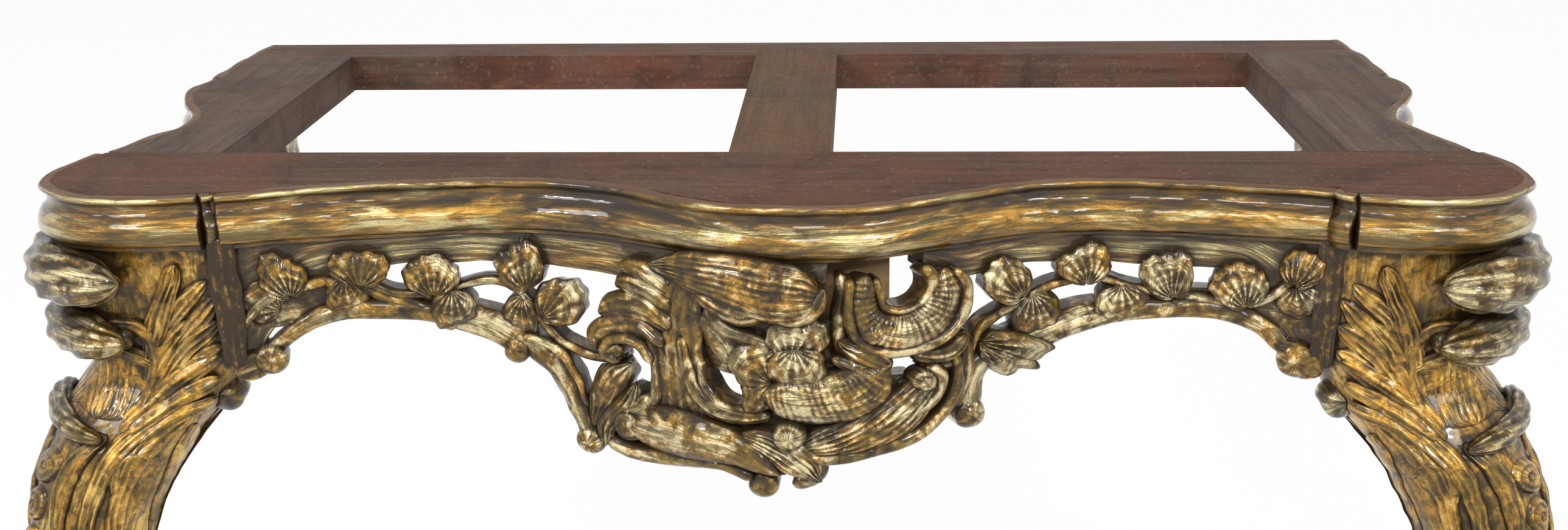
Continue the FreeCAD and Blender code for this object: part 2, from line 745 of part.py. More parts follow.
everything = Part.Compound(list(nodes.values()))
bounds = everything.optimalBoundingBox()
to_floor = Vector(-(bounds.XMin + bounds.XMax) / 2, -(bounds.YMin + bounds.YMax) / 2, -bounds.ZMin)
for name, shape in nodes.items():
    shape.translate(to_floor)
    shape.exportStep("parts/" + name + ".step")
    print(name, "solids", len(shape.Solids), "valid", shape.isValid())
print("box", [round(v, 1) for v in (bounds.XLength, bounds.YLength, bounds.ZLength)],
      "moved", [round(v, 2) for v in to_floor])
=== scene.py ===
# %% [markdown]
# # A giltwood console table
# The table is a frame of bare boards with a carved and gilded edge, a pierced apron in front and
# two cabriole legs. A wall carries its back. The solids of the frame are loaded first, and
# everything else is placed in their metres. The plain boards keep their shapes and get a wood
# finish. The gilded pieces are carved here, each in place of its solid.

# %% Load the frame
import bpy
import math
import numpy as np
from mathutils import Matrix, Vector


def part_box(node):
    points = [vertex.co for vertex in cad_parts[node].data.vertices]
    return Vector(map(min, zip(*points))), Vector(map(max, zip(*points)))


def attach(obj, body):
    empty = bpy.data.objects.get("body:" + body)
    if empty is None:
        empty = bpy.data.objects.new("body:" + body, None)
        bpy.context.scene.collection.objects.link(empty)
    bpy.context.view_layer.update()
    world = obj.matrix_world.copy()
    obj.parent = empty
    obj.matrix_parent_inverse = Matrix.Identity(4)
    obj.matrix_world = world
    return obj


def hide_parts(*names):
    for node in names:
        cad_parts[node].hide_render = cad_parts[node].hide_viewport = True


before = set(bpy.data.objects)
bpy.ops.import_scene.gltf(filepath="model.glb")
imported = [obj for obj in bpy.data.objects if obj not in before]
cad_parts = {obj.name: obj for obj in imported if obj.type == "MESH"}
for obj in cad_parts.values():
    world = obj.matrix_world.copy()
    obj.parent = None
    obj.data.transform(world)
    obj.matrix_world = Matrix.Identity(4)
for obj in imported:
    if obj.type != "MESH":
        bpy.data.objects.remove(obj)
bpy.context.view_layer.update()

print("nodes:", len(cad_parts))

# %% [markdown]
# Carvers work from a drawing in millimetres, with the middle of the front as its zero. So do
# these cells. Zero is the middle of the opening's front edge, at the top face of the boards. A
# drop below the top is a negative Z. `to_frame` turns such points into the frame's metres.

# %% Millimetres of the drawing
mm = 0.001
zero = np.array([0.0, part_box("front_rail")[1].y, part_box("front_rail")[1].z])


def to_frame(points):
    """Metres of the frame for millimetres of the drawing."""
    return np.asarray(points, float) * mm + zero


print("zero of the drawing:", [round(float(v), 4) for v in zero])

# %% [markdown]
# The camera stands where the photographer stood: 1.6 m in front of the opening, a little right
# of the middle and 0.46 m above the top, looking down by 20 degrees. Its place was solved from
# the straight edges of the frame. `eye` is also used later, because some of the carving was
# drawn as it is seen from there.

# %% Camera
eye = np.array([90.2, -1632.2, 461.9])
yaw, pitch, roll = (math.radians(a) for a in (-2.92, 19.8, -0.88))
lens_length, film_width, far_limit = 37.03, 36.0, 60.0
ahead = np.array([math.sin(yaw) * math.cos(pitch), math.cos(yaw) * math.cos(pitch), -math.sin(pitch)])
level = np.array([math.cos(yaw), -math.sin(yaw), 0.0])
upright = np.cross(level, ahead)
right = level * math.cos(roll) + upright * math.sin(roll)
up = upright * math.cos(roll) - level * math.sin(roll)
camera = bpy.data.objects.new("camera", bpy.data.cameras.new("camera"))
bpy.context.scene.collection.objects.link(camera)
camera.data.sensor_width = film_width
camera.data.lens = lens_length
camera.data.clip_end = far_limit
axes = np.stack([right, up, -ahead], 1)
camera.matrix_world = Matrix([[*row, place] for row, place in zip(axes, to_frame(eye))] + [[0, 0, 0, 1]])
bpy.context.scene.camera = camera
print("camera at", [round(v, 3) for v in camera.matrix_world.translation])

# %% [markdown]
# The light of a photographer's studio: a large soft lamp above and in front on each side, a
# smaller one in the middle, a wide weak one overhead, and a small bright one below each side
# lamp for the glints. A pale room fills the shadows. The room and the floor are white to the
# camera and in reflections, and dimmer as a light, so that the gold keeps its depth.

# %% Lights and room
lamp_target = Vector((0.0, -0.15, 0.75))


def lamp(name, place, size, power):
    """A soft rectangular lamp, in metres and watts, turned towards the table."""
    light = bpy.data.lights.new(name, "AREA")
    light.shape = "RECTANGLE"
    light.size, light.size_y = size
    light.energy = power
    holder = bpy.data.objects.new(name, light)
    bpy.context.scene.collection.objects.link(holder)
    holder.location = place
    direction = holder.location - lamp_target
    holder.rotation_euler = direction.to_track_quat("Z", "Y").to_euler()


lamp("soft_left", (-1.9, -2.1, 2.5), (0.8, 1.1), 29)
lamp("soft_right", (1.7, -2.3, 2.4), (0.7, 0.9), 21)
lamp("soft_front", (0.15, -2.4, 2.1), (0.5, 0.6), 14)
lamp("soft_top", (-0.4, 0.6, 3.0), (2.4, 1.6), 7)
lamp("glint_left", (-1.3, -1.9, 1.75), (0.2, 0.12), 10)
lamp("glint_right", (1.25, -1.9, 1.8), (0.2, 0.12), 7)

world = bpy.data.worlds.new("room")
bpy.context.scene.world = world
world.use_nodes = True
bpy.context.scene.view_settings.view_transform = "Standard"

# %% [markdown]
# Materials are mostly sums: more dirt and painted shade in a hollow, less on a ridge. `Value`
# wraps a socket so that such a sum can be written as a Python expression, which adds the Math
# nodes by itself.

# %% Sums of sockets


class Value:
    """One number of a material that changes over the surface."""

    def __init__(self, finish, socket):
        self.finish = finish
        self.socket = socket

    def math(self, operation, *values, clamp=False):
        made = self.finish.tree.nodes.new("ShaderNodeMath")
        made.operation = operation
        made.use_clamp = clamp
        for place, value in zip(made.inputs, values):
            self.finish.feed(place, value)
        return Value(self.finish, made.outputs[0])

    def __add__(self, other):
        return self.math("ADD", self, other)

    def __radd__(self, other):
        return self.math("ADD", other, self)

    def __sub__(self, other):
        return self.math("SUBTRACT", self, other)

    def __rsub__(self, other):
        return self.math("SUBTRACT", other, self)

    def __mul__(self, other):
        return self.math("MULTIPLY", self, other)

    def __rmul__(self, other):
        return self.math("MULTIPLY", other, self)

    def clipped(self):
        """The same, kept between 0 and 1."""
        return self.math("ADD", self, 0.0, clamp=True)

    def above(self, edge, softness):
        """0 below the edge, 1 above it, with a soft step between."""
        return self.math("MULTIPLY", self - (edge - softness / 2), 1 / softness, clamp=True)


print("a value knows:", [name for name in vars(Value) if not name.startswith("__")])

# %% [markdown]
# `Finish` holds one material. Its method `node` adds any other node, with its settings and with
# the values or links of its sockets. The short methods are the nodes that come again and again
# here: a blend of two colours, noise, a stretched place, bump, and the shader at the end.

# %% One material


class Finish:
    """A material, or the node tree of the world, that is built node by node."""

    def __init__(self, name, tree=None):
        if tree is None:
            self.material = bpy.data.materials.new(name)
            self.material.use_nodes = True
            tree = self.material.node_tree
        self.tree = tree
        tree.nodes.clear()

    def feed(self, socket, value):
        """Link a value to a socket, or set a number, a vector or a colour on it."""
        if isinstance(value, Value):
            self.tree.links.new(value.socket, socket)
        elif isinstance(value, (int, float)) or socket.type != "RGBA":
            socket.default_value = value
        else:
            socket.default_value = (*value, 1.0)[:4]

    def node(self, kind, sockets=None, out=0, **settings):
        """Any node: its settings first, then its sockets. Returns the value of one output."""
        made = self.tree.nodes.new(kind)
        for name, value in settings.items():
            setattr(made, name, value)
        for name, value in (sockets or {}).items():
            self.feed(made.inputs[name], value)
        return Value(self, made.outputs[out] if made.outputs else None)

    def blend(self, factor, low, high):
        """The colour `low` where the factor is 0, `high` where it is 1."""
        return self.node("ShaderNodeMix", {0: factor, 6: low, 7: high}, 2, data_type="RGBA")

    def noise(self, place, scale, detail=3.0, rough=0.55, twist=0.0):
        return self.node("ShaderNodeTexNoise", {"Vector": place, "Scale": scale, "Detail": detail,
                                                "Roughness": rough, "Distortion": twist})

    def stretched(self, scale, shift=(0, 0, 0)):
        spot = self.node("ShaderNodeTexCoord", out="Object")
        return self.node("ShaderNodeMapping", {"Vector": spot, "Scale": scale, "Location": shift})

    def surface(self, sockets):
        shader = self.node("ShaderNodeBsdfPrincipled", sockets)
        self.node("ShaderNodeOutputMaterial", {"Surface": shader})
        return self.material

    def bump(self, height, depth, strength=1.0):
        return self.node("ShaderNodeBump", {"Height": height, "Distance": depth, "Strength": strength})


print("a finish knows:", [name for name in vars(Finish) if not name.startswith("__")])

# %% [markdown]
# The pale room is the world's light. `fill` is how bright it is as a light, and the camera and
# reflections see it as white.

# %% Pale room


def on_camera_or_mirror(finish):
    """1 for what the camera or a reflection sees, 0 for light that falls on the table."""
    seen = finish.node("ShaderNodeLightPath", out="Is Camera Ray")
    mirrored = finish.node("ShaderNodeLightPath", out="Is Glossy Ray")
    through = finish.node("ShaderNodeLightPath", out="Is Transmission Ray")
    return (seen + mirrored + through).clipped()


white = (1.0, 1.0, 1.0)
fill = 0.55
room = Finish("room", world.node_tree)
share = on_camera_or_mirror(room)
strength = share * (1 - fill) + fill
air = room.node("ShaderNodeBackground", {"Color": white, "Strength": strength})
room.node("ShaderNodeOutputWorld", {"Surface": air})
print("room nodes:", len(world.node_tree.nodes))

# %% [markdown]
# The floor is a plain pale sheet. It takes the table's soft shadow, and a little of its own
# light lifts it to the white of the picture where nothing shades it.

# %% Floor
paper_grey, glow_strength, glow_share = (0.82, 0.82, 0.82), 1.1, 0.8
bpy.ops.object.select_all(action="DESELECT")
bpy.ops.mesh.primitive_plane_add(size=40.0, location=(0.0, 8.0, 0.0))
floor = bpy.context.object
floor.name = "floor"
bpy.ops.object.transform_apply(location=True)
paper = Finish("floor_paper")
lit = paper.node("ShaderNodeBsdfDiffuse", {"Color": paper_grey})
glow = paper.node("ShaderNodeEmission", {"Color": white, "Strength": glow_strength})
share = on_camera_or_mirror(paper)
mixed = paper.node("ShaderNodeMixShader", {0: share * glow_share, 1: lit, 2: glow})
paper.node("ShaderNodeOutputMaterial", {"Surface": mixed})
floor.data.materials.append(paper.material)
print("floor:", floor.dimensions[:2])

# %% [markdown]
# A carver draws few points and lets the hand run smoothly through them. `spline` does the
# same: it is a natural cubic curve through rows of numbers, which may hold widths and heights
# as well as places.

# %% A smooth line through rows


def spline(rows, count):
    """Even steps on the natural cubic curve through the rows. Two columns measure its length."""
    rows = np.asarray(rows, float)
    steps = np.linalg.norm(np.diff(rows[:, :2], axis=0), axis=1)
    along = np.concatenate([[0.0], np.cumsum(steps)])
    size = len(along)
    system = np.eye(size)
    pull = np.zeros_like(rows)
    for i in range(1, size - 1):
        before, after = steps[i - 1], steps[i]
        system[i, i - 1:i + 2] = before, 2 * (before + after), after
        pull[i] = 6 * ((rows[i + 1] - rows[i]) / after - (rows[i] - rows[i - 1]) / before)
    bend = np.linalg.solve(system, pull)
    at = np.linspace(0.0, along[-1], count)
    i = np.clip(np.searchsorted(along, at, side="right") - 1, 0, size - 2)
    left, right, step = at - along[i], along[i + 1] - at, steps[i]
    left, right, step = left[:, None], right[:, None], step[:, None]
    return ((bend[i] * right ** 3 + bend[i + 1] * left ** 3) / (6 * step)
            + (rows[i] / step - bend[i] * step / 6) * right
            + (rows[i + 1] / step - bend[i + 1] * step / 6) * left)


print("middle of a test line:", spline([(0, 0), (10, 4), (20, 0)], 3)[1])

# %% [markdown]
# The plan of the edge is drawn with four lines: the bowed front, the lobe at the corner, the
# hollow side and the straight rear end. The same few points shape the boards, so the carved
# pieces meet them. `break_half` is where the front ends, at the dark break in the moulding.

# %% Plan of the edge
break_half = 550.0
front_rows = [(-550, -146), (-401, -108), (-250, -94), (-130, -127), (-55, -169), (30, -185),
              (115, -170), (190, -133), (308, -96), (429, -104), (550, -128)]
lobe_rows = [(550, -143), (600, -153), (650, -155), (701, -138), (729, -108), (736, -71),
             (729, -29), (719, 0)]
side_rows = [(712, 0), (697, 50), (678, 100), (674, 137), (688, 180), (715, 230), (734, 290),
             (724, 345)]
rear_rows = [(728, 345), (729, 446), (722, 548)]


def plan_line(rows, spacing=2.0):
    """Places and outward directions along an edge, at even steps."""
    rows = np.asarray(rows, float)
    length = np.linalg.norm(np.diff(rows, axis=0), axis=1).sum()
    line = spline(rows, int(length / spacing) + 2)
    run = np.gradient(line, axis=0)
    run /= np.linalg.norm(run, axis=1)[:, None]
    return line, np.stack([run[:, 1], -run[:, 0]], 1)


front_line, front_out = plan_line(front_rows)
print("front edge:", len(front_line), "places")

# %% [markdown]
# Carving is made in strokes. A stroke is a closed shape in its own small drawing: across,
# down, and proud of the ground. `on_front` lays it on the bowed front. The drawing was made
# from the photographer's place, on a sheet bent like the front and `drawn_behind` its edge. So
# each stroke is first slid along the line of sight to the depth where it lies, and its own
# thickness then stands square to the front.

# %% Lay a drawing on the bowed front
drawn_behind = 7.0


def on_front(drawing, lift):
    """Points on the bowed front for a drawing of X, Z and how proud it stands."""
    x, z, proud = (drawing[..., i] for i in range(3))
    edge = np.interp(x, front_line[:, 0], front_line[:, 1])
    out = np.stack([np.interp(x, front_line[:, 0], front_out[:, i]) for i in range(2)]
                   + [np.zeros_like(x)], -1)
    seen = np.stack([x, edge + drawn_behind, z], -1)
    sight = eye - seen
    share = (lift + drawn_behind) / (sight * out).sum(-1)
    return seen + sight * share[..., None] + out * (proud - lift)[..., None]


print("a point of the front:", on_front(np.array([[0.0, -100.0, 5.0]]), 5.0).round(1))

# %% [markdown]
# Every stroke is a lattice of points closed round its columns. The first is the band: a ridge
# along a line, with a crown, flutes along it or across it, rounded ends and a flat back. It
# makes stems, straps, rims and long leaves. A gouge doesn't cut evenly, so the flutes fade and
# return along the stroke. Each point also keeps a tone, which is high on a ridge and low in a
# groove, at the stroke's edges and on its back. The gilding reads it as painted shade and
# painted highlight: it darkens the gilt where the tone is low and pales it where it is high.

# %% The band
least_half = 0.6
fade_wave, fade_depth = 8.0, 0.26
# The hidden back of a stroke has a low tone, which the gilding paints as shade.
back_tone = 0.3


def band(rows, lift=4.0, back=24, flutes=0, cross=0.0, slant=0.0, drift=0.0, cut=1.2, hollow=0.0,
         columns=18, spacing=2.0, ends=(1.0, 1.0), lobes=0.0, tint=0.0):
    """Rows hold X, Z, half width and crown. Returns a lattice, its tone and its lift."""
    rows = np.asarray(rows, float)
    length = np.linalg.norm(np.diff(rows[:, :2], axis=0), axis=1).sum()
    line = spline(rows, max(8, int(length / spacing)))
    run = np.gradient(line[:, :2], axis=0)
    steps = np.linalg.norm(np.diff(line[:, :2], axis=0), axis=1)
    along = np.concatenate([[0.0], np.cumsum(steps)])
    run /= np.linalg.norm(run, axis=1)[:, None]
    across = np.stack([-run[:, 1], run[:, 0]], 1)
    half = np.maximum(line[:, 2], least_half)
    taper = np.ones_like(along)
    for end, distance in zip(ends, (along, along[-1] - along)):
        reach = min(half.max() * max(end, 0.05), along[-1] / 2)
        taper *= np.sqrt(np.clip(1 - (1 - np.clip(distance / reach, 0.02, 1)) ** 2, 0, 1))
    v = np.sin(np.linspace(-math.pi / 2, math.pi / 2, columns))
    crown = (1 - np.abs(v) ** 2.4) ** 0.6
    ridge = np.zeros((len(line), columns))
    if flutes:
        ridge += np.cos(math.pi * flutes * v[None, :] + drift * along[:, None])
    if cross:
        ridge += np.cos(2 * math.pi * (along[:, None] + slant * half[:, None] * v[None, :]) / cross)
    fade = np.cos(along[:, None] / fade_wave + 3 * v[None, :] + rows[0, 0])
    ridge *= 1 - fade_depth + fade_depth * fade
    wave = 1 + lobes * np.cos(2 * math.pi * along / (2.2 * half.max()))
    width = (half * taper * wave)[:, None]
    proud = (line[:, 3] * taper ** 0.7)[:, None] * crown - hollow * crown ** 2 * taper[:, None]
    proud = proud + cut * ridge * crown * taper[:, None]
    top = np.stack([line[:, 0, None] + across[:, 0, None] * width * v,
                    line[:, 1, None] + across[:, 1, None] * width * v, lift + proud], -1)
    w = np.linspace(0.82, -0.82, 4)
    under = np.stack([line[:, 0, None] + across[:, 0, None] * width * w,
                      line[:, 1, None] + across[:, 1, None] * width * w,
                      lift - back * taper[:, None] * np.ones(4)], -1)
    strength = 2.0 if flutes and cross else 1.0
    # Painted shade in the grooves and at the edges, painted highlight on the ridges.
    tone = (0.62 + 0.38 * ridge / strength) * (0.45 + 0.55 * crown) + tint
    tone = np.concatenate([tone, np.full(under.shape[:2], back_tone)], 1)
    return np.concatenate([top, under], 1), tone, lift


test, _, _ = band([(0, 0, 5, 4), (40, 10, 6, 5), (80, 0, 4, 3)])
print("a band's lattice:", test.shape)

# %% [markdown]
# The second stroke is the fan: a round swelling leaf with ribs that spread from its root and
# fade before the rim. The vine leaves, the buds and the small lobes are all fans. Each leaf
# tilts a little to one side or the other, and its rim is wavy. The third is the knob, a round
# bead with a snail's groove, which ends the scrolls.

# %% The fan and the knob
leaf_spread = 76.0
leaf_tilt, leaf_wave = 2.6, 0.05
knob_rows, knob_sides = 14, 28


def fan(root, tip, ribs=8, lift=6.0, crown=7.0, back=22, cut=1.0, wide=1.0, tint=0.0):
    """A leaf from its root to its tip. Returns a lattice, its tone and its lift."""
    root, tip = np.asarray(root, float), np.asarray(tip, float)
    reach = np.linalg.norm(tip - root)
    lean = math.atan2(*(tip - root)[::-1])
    turn = np.linspace(-1, 1, ribs * 7 + 1)[:, None]
    ridge = np.cos(math.pi * ribs * (turn + 1))
    rim = reach * np.cos(np.radians(leaf_spread) * turn) ** 0.72
    rim = rim * (1 + leaf_wave * np.cos(math.pi * 2.5 * turn + reach) + 0.5 * leaf_wave * ridge)
    rim = rim * (1 + 0.9 * leaf_wave * np.sin(5.3 * turn + root[0]))
    out = np.linspace(0.05, 1.0, max(12, int(reach / 1.6)))[None, :]
    angle = lean + np.radians(leaf_spread) * turn
    rise = np.sin(math.pi * out ** 0.85) ** 0.7 * (1 - 0.35 * turn ** 2)
    deep = cut * ridge * np.sin(math.pi * np.clip(out * 1.12, 0, 1)) * (1 - 0.5 * turn ** 4)
    side = np.array([-math.sin(lean), math.cos(lean)])
    place = np.stack([rim * out * np.cos(angle), rim * out * np.sin(angle)], -1)
    offset = (place @ side)[..., None] * side * (wide - 1)
    place = place + offset + root
    tilt = leaf_tilt * math.sin(root[0] * 1.7) * turn * out
    top = np.concatenate([place, (lift + crown * rise + deep + tilt)[..., None]], -1)
    low = place[:, ::-3] * 0.94 + root * 0.06
    under = np.concatenate([low, np.full((*low.shape[:2], 1), lift - back)], -1)
    # Painted shade: the tone is low between the ribs, at the root and at the rim.
    tone = (0.66 + 0.34 * ridge * (1 - out ** 3)) * (0.45 + 0.55 * np.sin(math.pi * out ** 0.8) ** 0.5)
    tone = np.concatenate([tone + tint, np.full(low.shape[:2], back_tone)], 1)
    return np.concatenate([top, under], 1), tone, lift


def knob(x, z, radius, lift=6.0, crown=None, back=16.0, twist=1.3, cut=0.6):
    """A round bead. Returns a lattice, its tone and its lift."""
    crown = radius * 0.75 if crown is None else crown
    fall = np.linspace(0.06, 1.0, knob_rows)[:, None]
    turn = np.linspace(0, 2 * math.pi, knob_sides, endpoint=False)[None, :]
    away = radius * np.sin(fall * math.pi / 2)
    groove = np.cos(turn - twist * 2 * math.pi * away / radius)
    proud = lift + crown * np.cos(fall * math.pi / 2) + cut * groove * np.sin(fall * math.pi)
    top = np.stack([x + away * np.cos(turn), z + away * np.sin(turn), proud + 0 * turn], -1)
    low = np.linspace(0.97, 0.1, 3)[:, None] * radius
    under = np.stack([x + low * np.cos(turn), z + low * np.sin(turn),
                      np.linspace(lift - back * 0.8, lift - back, 3)[:, None] + 0 * turn], -1)
    # Painted shade: the tone is lower in the snail's groove.
    tone = 0.6 + 0.25 * groove * np.ones_like(fall)
    tone = np.concatenate([tone, np.full(under.shape[:2], back_tone)])
    return np.concatenate([top, under]), tone, lift


print("a leaf's lattice:", fan((0, 0), (0, 30))[0].shape, "a knob's:", knob(0, 0, 10)[0].shape)

# %% [markdown]
# A carved piece is a pile of such strokes. They pass through each other as cuts in one block
# would. The pile is laid on its ground, given the small unevenness of hand work, and made one
# mesh with its tone and its run, which says how far along and across its stroke a point lies.
# A grid or cylinder primitive could not follow these shapes.

# %% Unevenness of the hand
hand_seed = 7
hand_waves = ((70.0, 0.7), (28.0, 0.35), (12.0, 0.1))


def uneven(points, amount=1.0):
    """Small smooth errors of the hand, the same each time: a wave's length and its size, in mm."""
    chance = np.random.default_rng(hand_seed)
    moved = points.copy()
    for wave, size in hand_waves:
        for _ in range(4):
            way = chance.normal(size=3)
            way *= 2 * math.pi / wave / np.linalg.norm(way)
            push = chance.normal(size=3)
            push *= size * amount / np.linalg.norm(push)
            moved += np.sin(points @ way + chance.uniform(0, 6.28))[..., None] * push
    return moved


print("waves of the hand, in mm:", [wave for wave, _ in hand_waves])

# %% [markdown]
# `make_piece` joins the lattices of a piece into one closed mesh. No point may pass the floor,
# 870 mm down, or stand more than a skin of gilding above the boards. The runs of two strokes are
# kept `apart`, so that no streak of the gilding crosses from one stroke into the next. `dress`
# turns the faces outwards, smooths them and tells the frame what the piece is. Most pieces come
# in pairs, which `make_both` makes.

# %% Make a piece of strokes
floor_drop, top_skin = -870.0, 0.3
apart = 370.0
smooth_angle = math.radians(50)
mirror = np.array([-1.0, 1.0, 1.0])


def lattice_faces(rows, columns, start):
    """Squares round a lattice that is closed round its columns, and a cap on each end."""
    index = start + np.arange(rows * columns).reshape(rows, columns)
    near, far = index[:-1], index[1:]
    quads = np.stack([near, np.roll(near, -1, 1), np.roll(far, -1, 1), far], -1).reshape(-1, 4)
    return quads.tolist() + [index[0, ::-1].tolist(), index[-1].tolist()]


def dress(piece, material, replaces):
    bpy.ops.object.select_all(action="DESELECT")
    piece.select_set(True)
    bpy.context.view_layer.objects.active = piece
    bpy.ops.object.mode_set(mode="EDIT")
    bpy.ops.mesh.select_all(action="SELECT")
    bpy.ops.mesh.normals_make_consistent(inside=False)
    bpy.ops.object.mode_set(mode="OBJECT")
    bpy.ops.object.shade_smooth_by_angle(angle=smooth_angle)
    piece.data.materials.clear()
    piece.data.materials.append(material)
    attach(piece, "root")
    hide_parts(*replaces)
    print(piece.name, "triangles:", sum(len(p.vertices) - 2 for p in piece.data.polygons))


def make_piece(name, lattices, material, replaces, amount=1.0):
    """One object from lattices of points in the drawing's millimetres, with their tones."""
    points, tones, runs, faces = [], [], [], []
    count = 0
    for lattice, tone in lattices:
        rows, columns = lattice.shape[:2]
        faces += lattice_faces(rows, columns, count)
        points.append(lattice.reshape(-1, 3))
        tones.append(np.broadcast_to(tone, (rows, columns)).reshape(-1))
        along = np.linalg.norm(np.diff(lattice, axis=0), axis=2).mean(1).cumsum()
        across = np.linalg.norm(np.diff(lattice, axis=1), axis=2).max(0).cumsum()
        run = np.meshgrid(np.append(0, along), np.append(0, across), indexing="ij")
        runs.append(np.stack([*run, np.full_like(run[0], len(runs) * apart)], -1).reshape(-1, 3))
        count += rows * columns
    points = uneven(np.concatenate(points), amount)
    points[:, 2] = np.clip(points[:, 2], floor_drop, top_skin)
    mesh = bpy.data.meshes.new(name)
    mesh.from_pydata(to_frame(points).tolist(), [], faces)
    mesh.attributes.new("tone", "FLOAT", "POINT").data.foreach_set(
        "value", np.concatenate(tones).astype(np.float32))
    mesh.attributes.new("run", "FLOAT_VECTOR", "POINT").data.foreach_set(
        "vector", (np.concatenate(runs) * mm).astype(np.float32).reshape(-1))
    piece = bpy.data.objects.new(name, mesh)
    bpy.context.scene.collection.objects.link(piece)
    dress(piece, material, replaces)


def make_both(stem, ending, lattices, material, amount=1.0):
    """A piece in place of the right node of a pair, and its mirror image for the left one."""
    make_piece(f"{stem}_right_{ending}", lattices, material, [stem + "_right"], amount)
    lattices = [(points * mirror, tone) for points, tone in lattices]
    make_piece(f"{stem}_left_{ending}", lattices, material, [stem + "_left"], amount)


def laid(strokes, carry):
    """Strokes laid on a ground by its own function, with their tones."""
    return [(carry(lattice, lift), tone) for lattice, tone, lift in strokes]


print("faces round a small lattice:", len(lattice_faces(3, 4, 0)))

# %% [markdown]
# The gilding is old mecca: silver or pale gold under a yellow varnish. Broad clouds of pale
# gold, ochre and olive lie over it with patches of brown dirt. The hollows and the grooves are
# darkened towards umber as painted shade, and the ridges are painted paler as a highlight.
# Rubbed edges show orange clay, and small flecks are everywhere. It stays glossy, so the dark is
# not matt. The carving is paler, the legs are yellower, and the rolls beside them are the
# darkest, with the most dirt and painted shade. On the mouldings and the frieze the clouds are
# drawn out along the strip, and what faces upwards is worn to a dull brown.

# %% Gilding
pale_gold = (0.66, 0.55, 0.26)
ochre_gold = (0.46, 0.235, 0.032)
olive_gold = (0.125, 0.088, 0.020)
umber = (0.018, 0.010, 0.004)
worn_brown = (0.12, 0.062, 0.036)
clay = (0.55, 0.19, 0.03)
cloud_scale, patch_scale, film_scale, brush_scale, fleck_scale = 16.0, 60.0, 130.0, 420.0, 520.0
hollow_reach, gilt_relief = 0.020, 0.0022


def gilding(name, dirt_and_shade=0.5, ochre=0.5, drawn=False, bright=1.0, pale=pale_gold):
    """Gilding with its grime and painted shade. Its streaks follow each stroke. `drawn` draws the clouds
    out too.
    """
    finish = Finish(name)
    pale, deep, olive = (tuple(v * bright for v in c) for c in (pale, ochre_gold, olive_gold))
    spot = finish.node("ShaderNodeTexCoord", out="Object")
    run = finish.node("ShaderNodeAttribute", attribute_name="run", out="Vector")
    tone = finish.node("ShaderNodeAttribute", attribute_name="tone", out="Fac")
    streak = (0.06 if drawn else 0.13, 1.0, 1.0)
    pulled = finish.node("ShaderNodeMapping", {"Vector": run, "Scale": streak})
    wide = spot
    if drawn:
        wide = finish.node("ShaderNodeMapping", {"Vector": run, "Scale": (0.25, 1.0, 1.0)})
    cloud = finish.noise(wide, cloud_scale, 4.0, 0.6, 0.4)
    patch = finish.noise(wide, patch_scale, 6.0, 0.68, 0.6)
    fleck = finish.noise(spot, fleck_scale, 4.0, 0.7)
    brush = finish.noise(pulled, brush_scale, 5.0, 0.7)
    film = finish.noise(pulled, film_scale, 6.0, 0.72, 0.6)
    open_air = finish.node("ShaderNodeAmbientOcclusion", {"Distance": hollow_reach}, 1, samples=6)
    # A high tone on a ridge leans the gold to pale: a painted highlight.
    ground = cloud * 0.9 + patch * 0.7 - tone * 0.2 - 0.16
    gold = finish.blend(ground.above(0.64 - 0.22 * ochre, 0.10), pale, deep)
    gold = finish.blend((cloud * 0.6 + patch * 0.4).above(0.535, 0.07) * 0.7, gold, olive)
    gold = finish.blend(film.above(0.57 - 0.08 * dirt_and_shade, 0.08) * 0.8, gold, olive)
    gold = finish.blend(brush.above(0.60, 0.10) * 0.65, gold, olive)
    # Painted shade: the hollows found by the occlusion node and the low tone of grooves darken the gilt
    # towards umber, together with patches of dirt from the noise.
    dark = patch * 1.2 + film * 0.4 + brush * 0.2 + (1 - tone) * 0.26 + (1 - open_air) * 0.75
    dark = dark.above(1.29 - 0.32 * dirt_and_shade, 0.28)
    colour = finish.blend(dark * 0.95, gold, umber)
    speck = fleck.above(0.635, 0.05) * 0.6
    colour = finish.blend(speck, colour, umber)
    rubbed = (patch * 0.5 + tone * 0.4 + fleck * 0.3).above(0.91, 0.04) * 0.85
    colour = finish.blend(rubbed, colour, clay)
    rough = dark * 0.12 + brush * 0.26 + (0.04 if drawn else 0.06)
    coat = 0.8 if drawn else 0.5
    metal = (1 - dark) * (0.85 if drawn else 0.7) + 0.1
    if drawn:
        facing = finish.node("ShaderNodeNewGeometry", out="Normal")
        upward = finish.node("ShaderNodeSeparateXYZ", {"Vector": facing}, "Z")
        worn = (upward + patch * 0.3).above(0.98, 0.2) * 0.9
        colour = finish.blend(worn, colour, worn_brown)
        rough = rough + worn * 0.4
        coat = 0.8 - worn * 0.8
        metal = metal * (1 - worn)
    height = fleck * 0.2 + brush * 0.3 + film * 0.5 + patch * 0.7
    return finish.surface({
        "Base Color": colour,
        "Metallic": metal,
        "Roughness": rough,
        "Specular IOR Level": 0.14,
        "Coat Weight": coat,
        "Coat Roughness": 0.10 if drawn else 0.06,
        "Normal": finish.bump(height, gilt_relief, 0.8),
    })


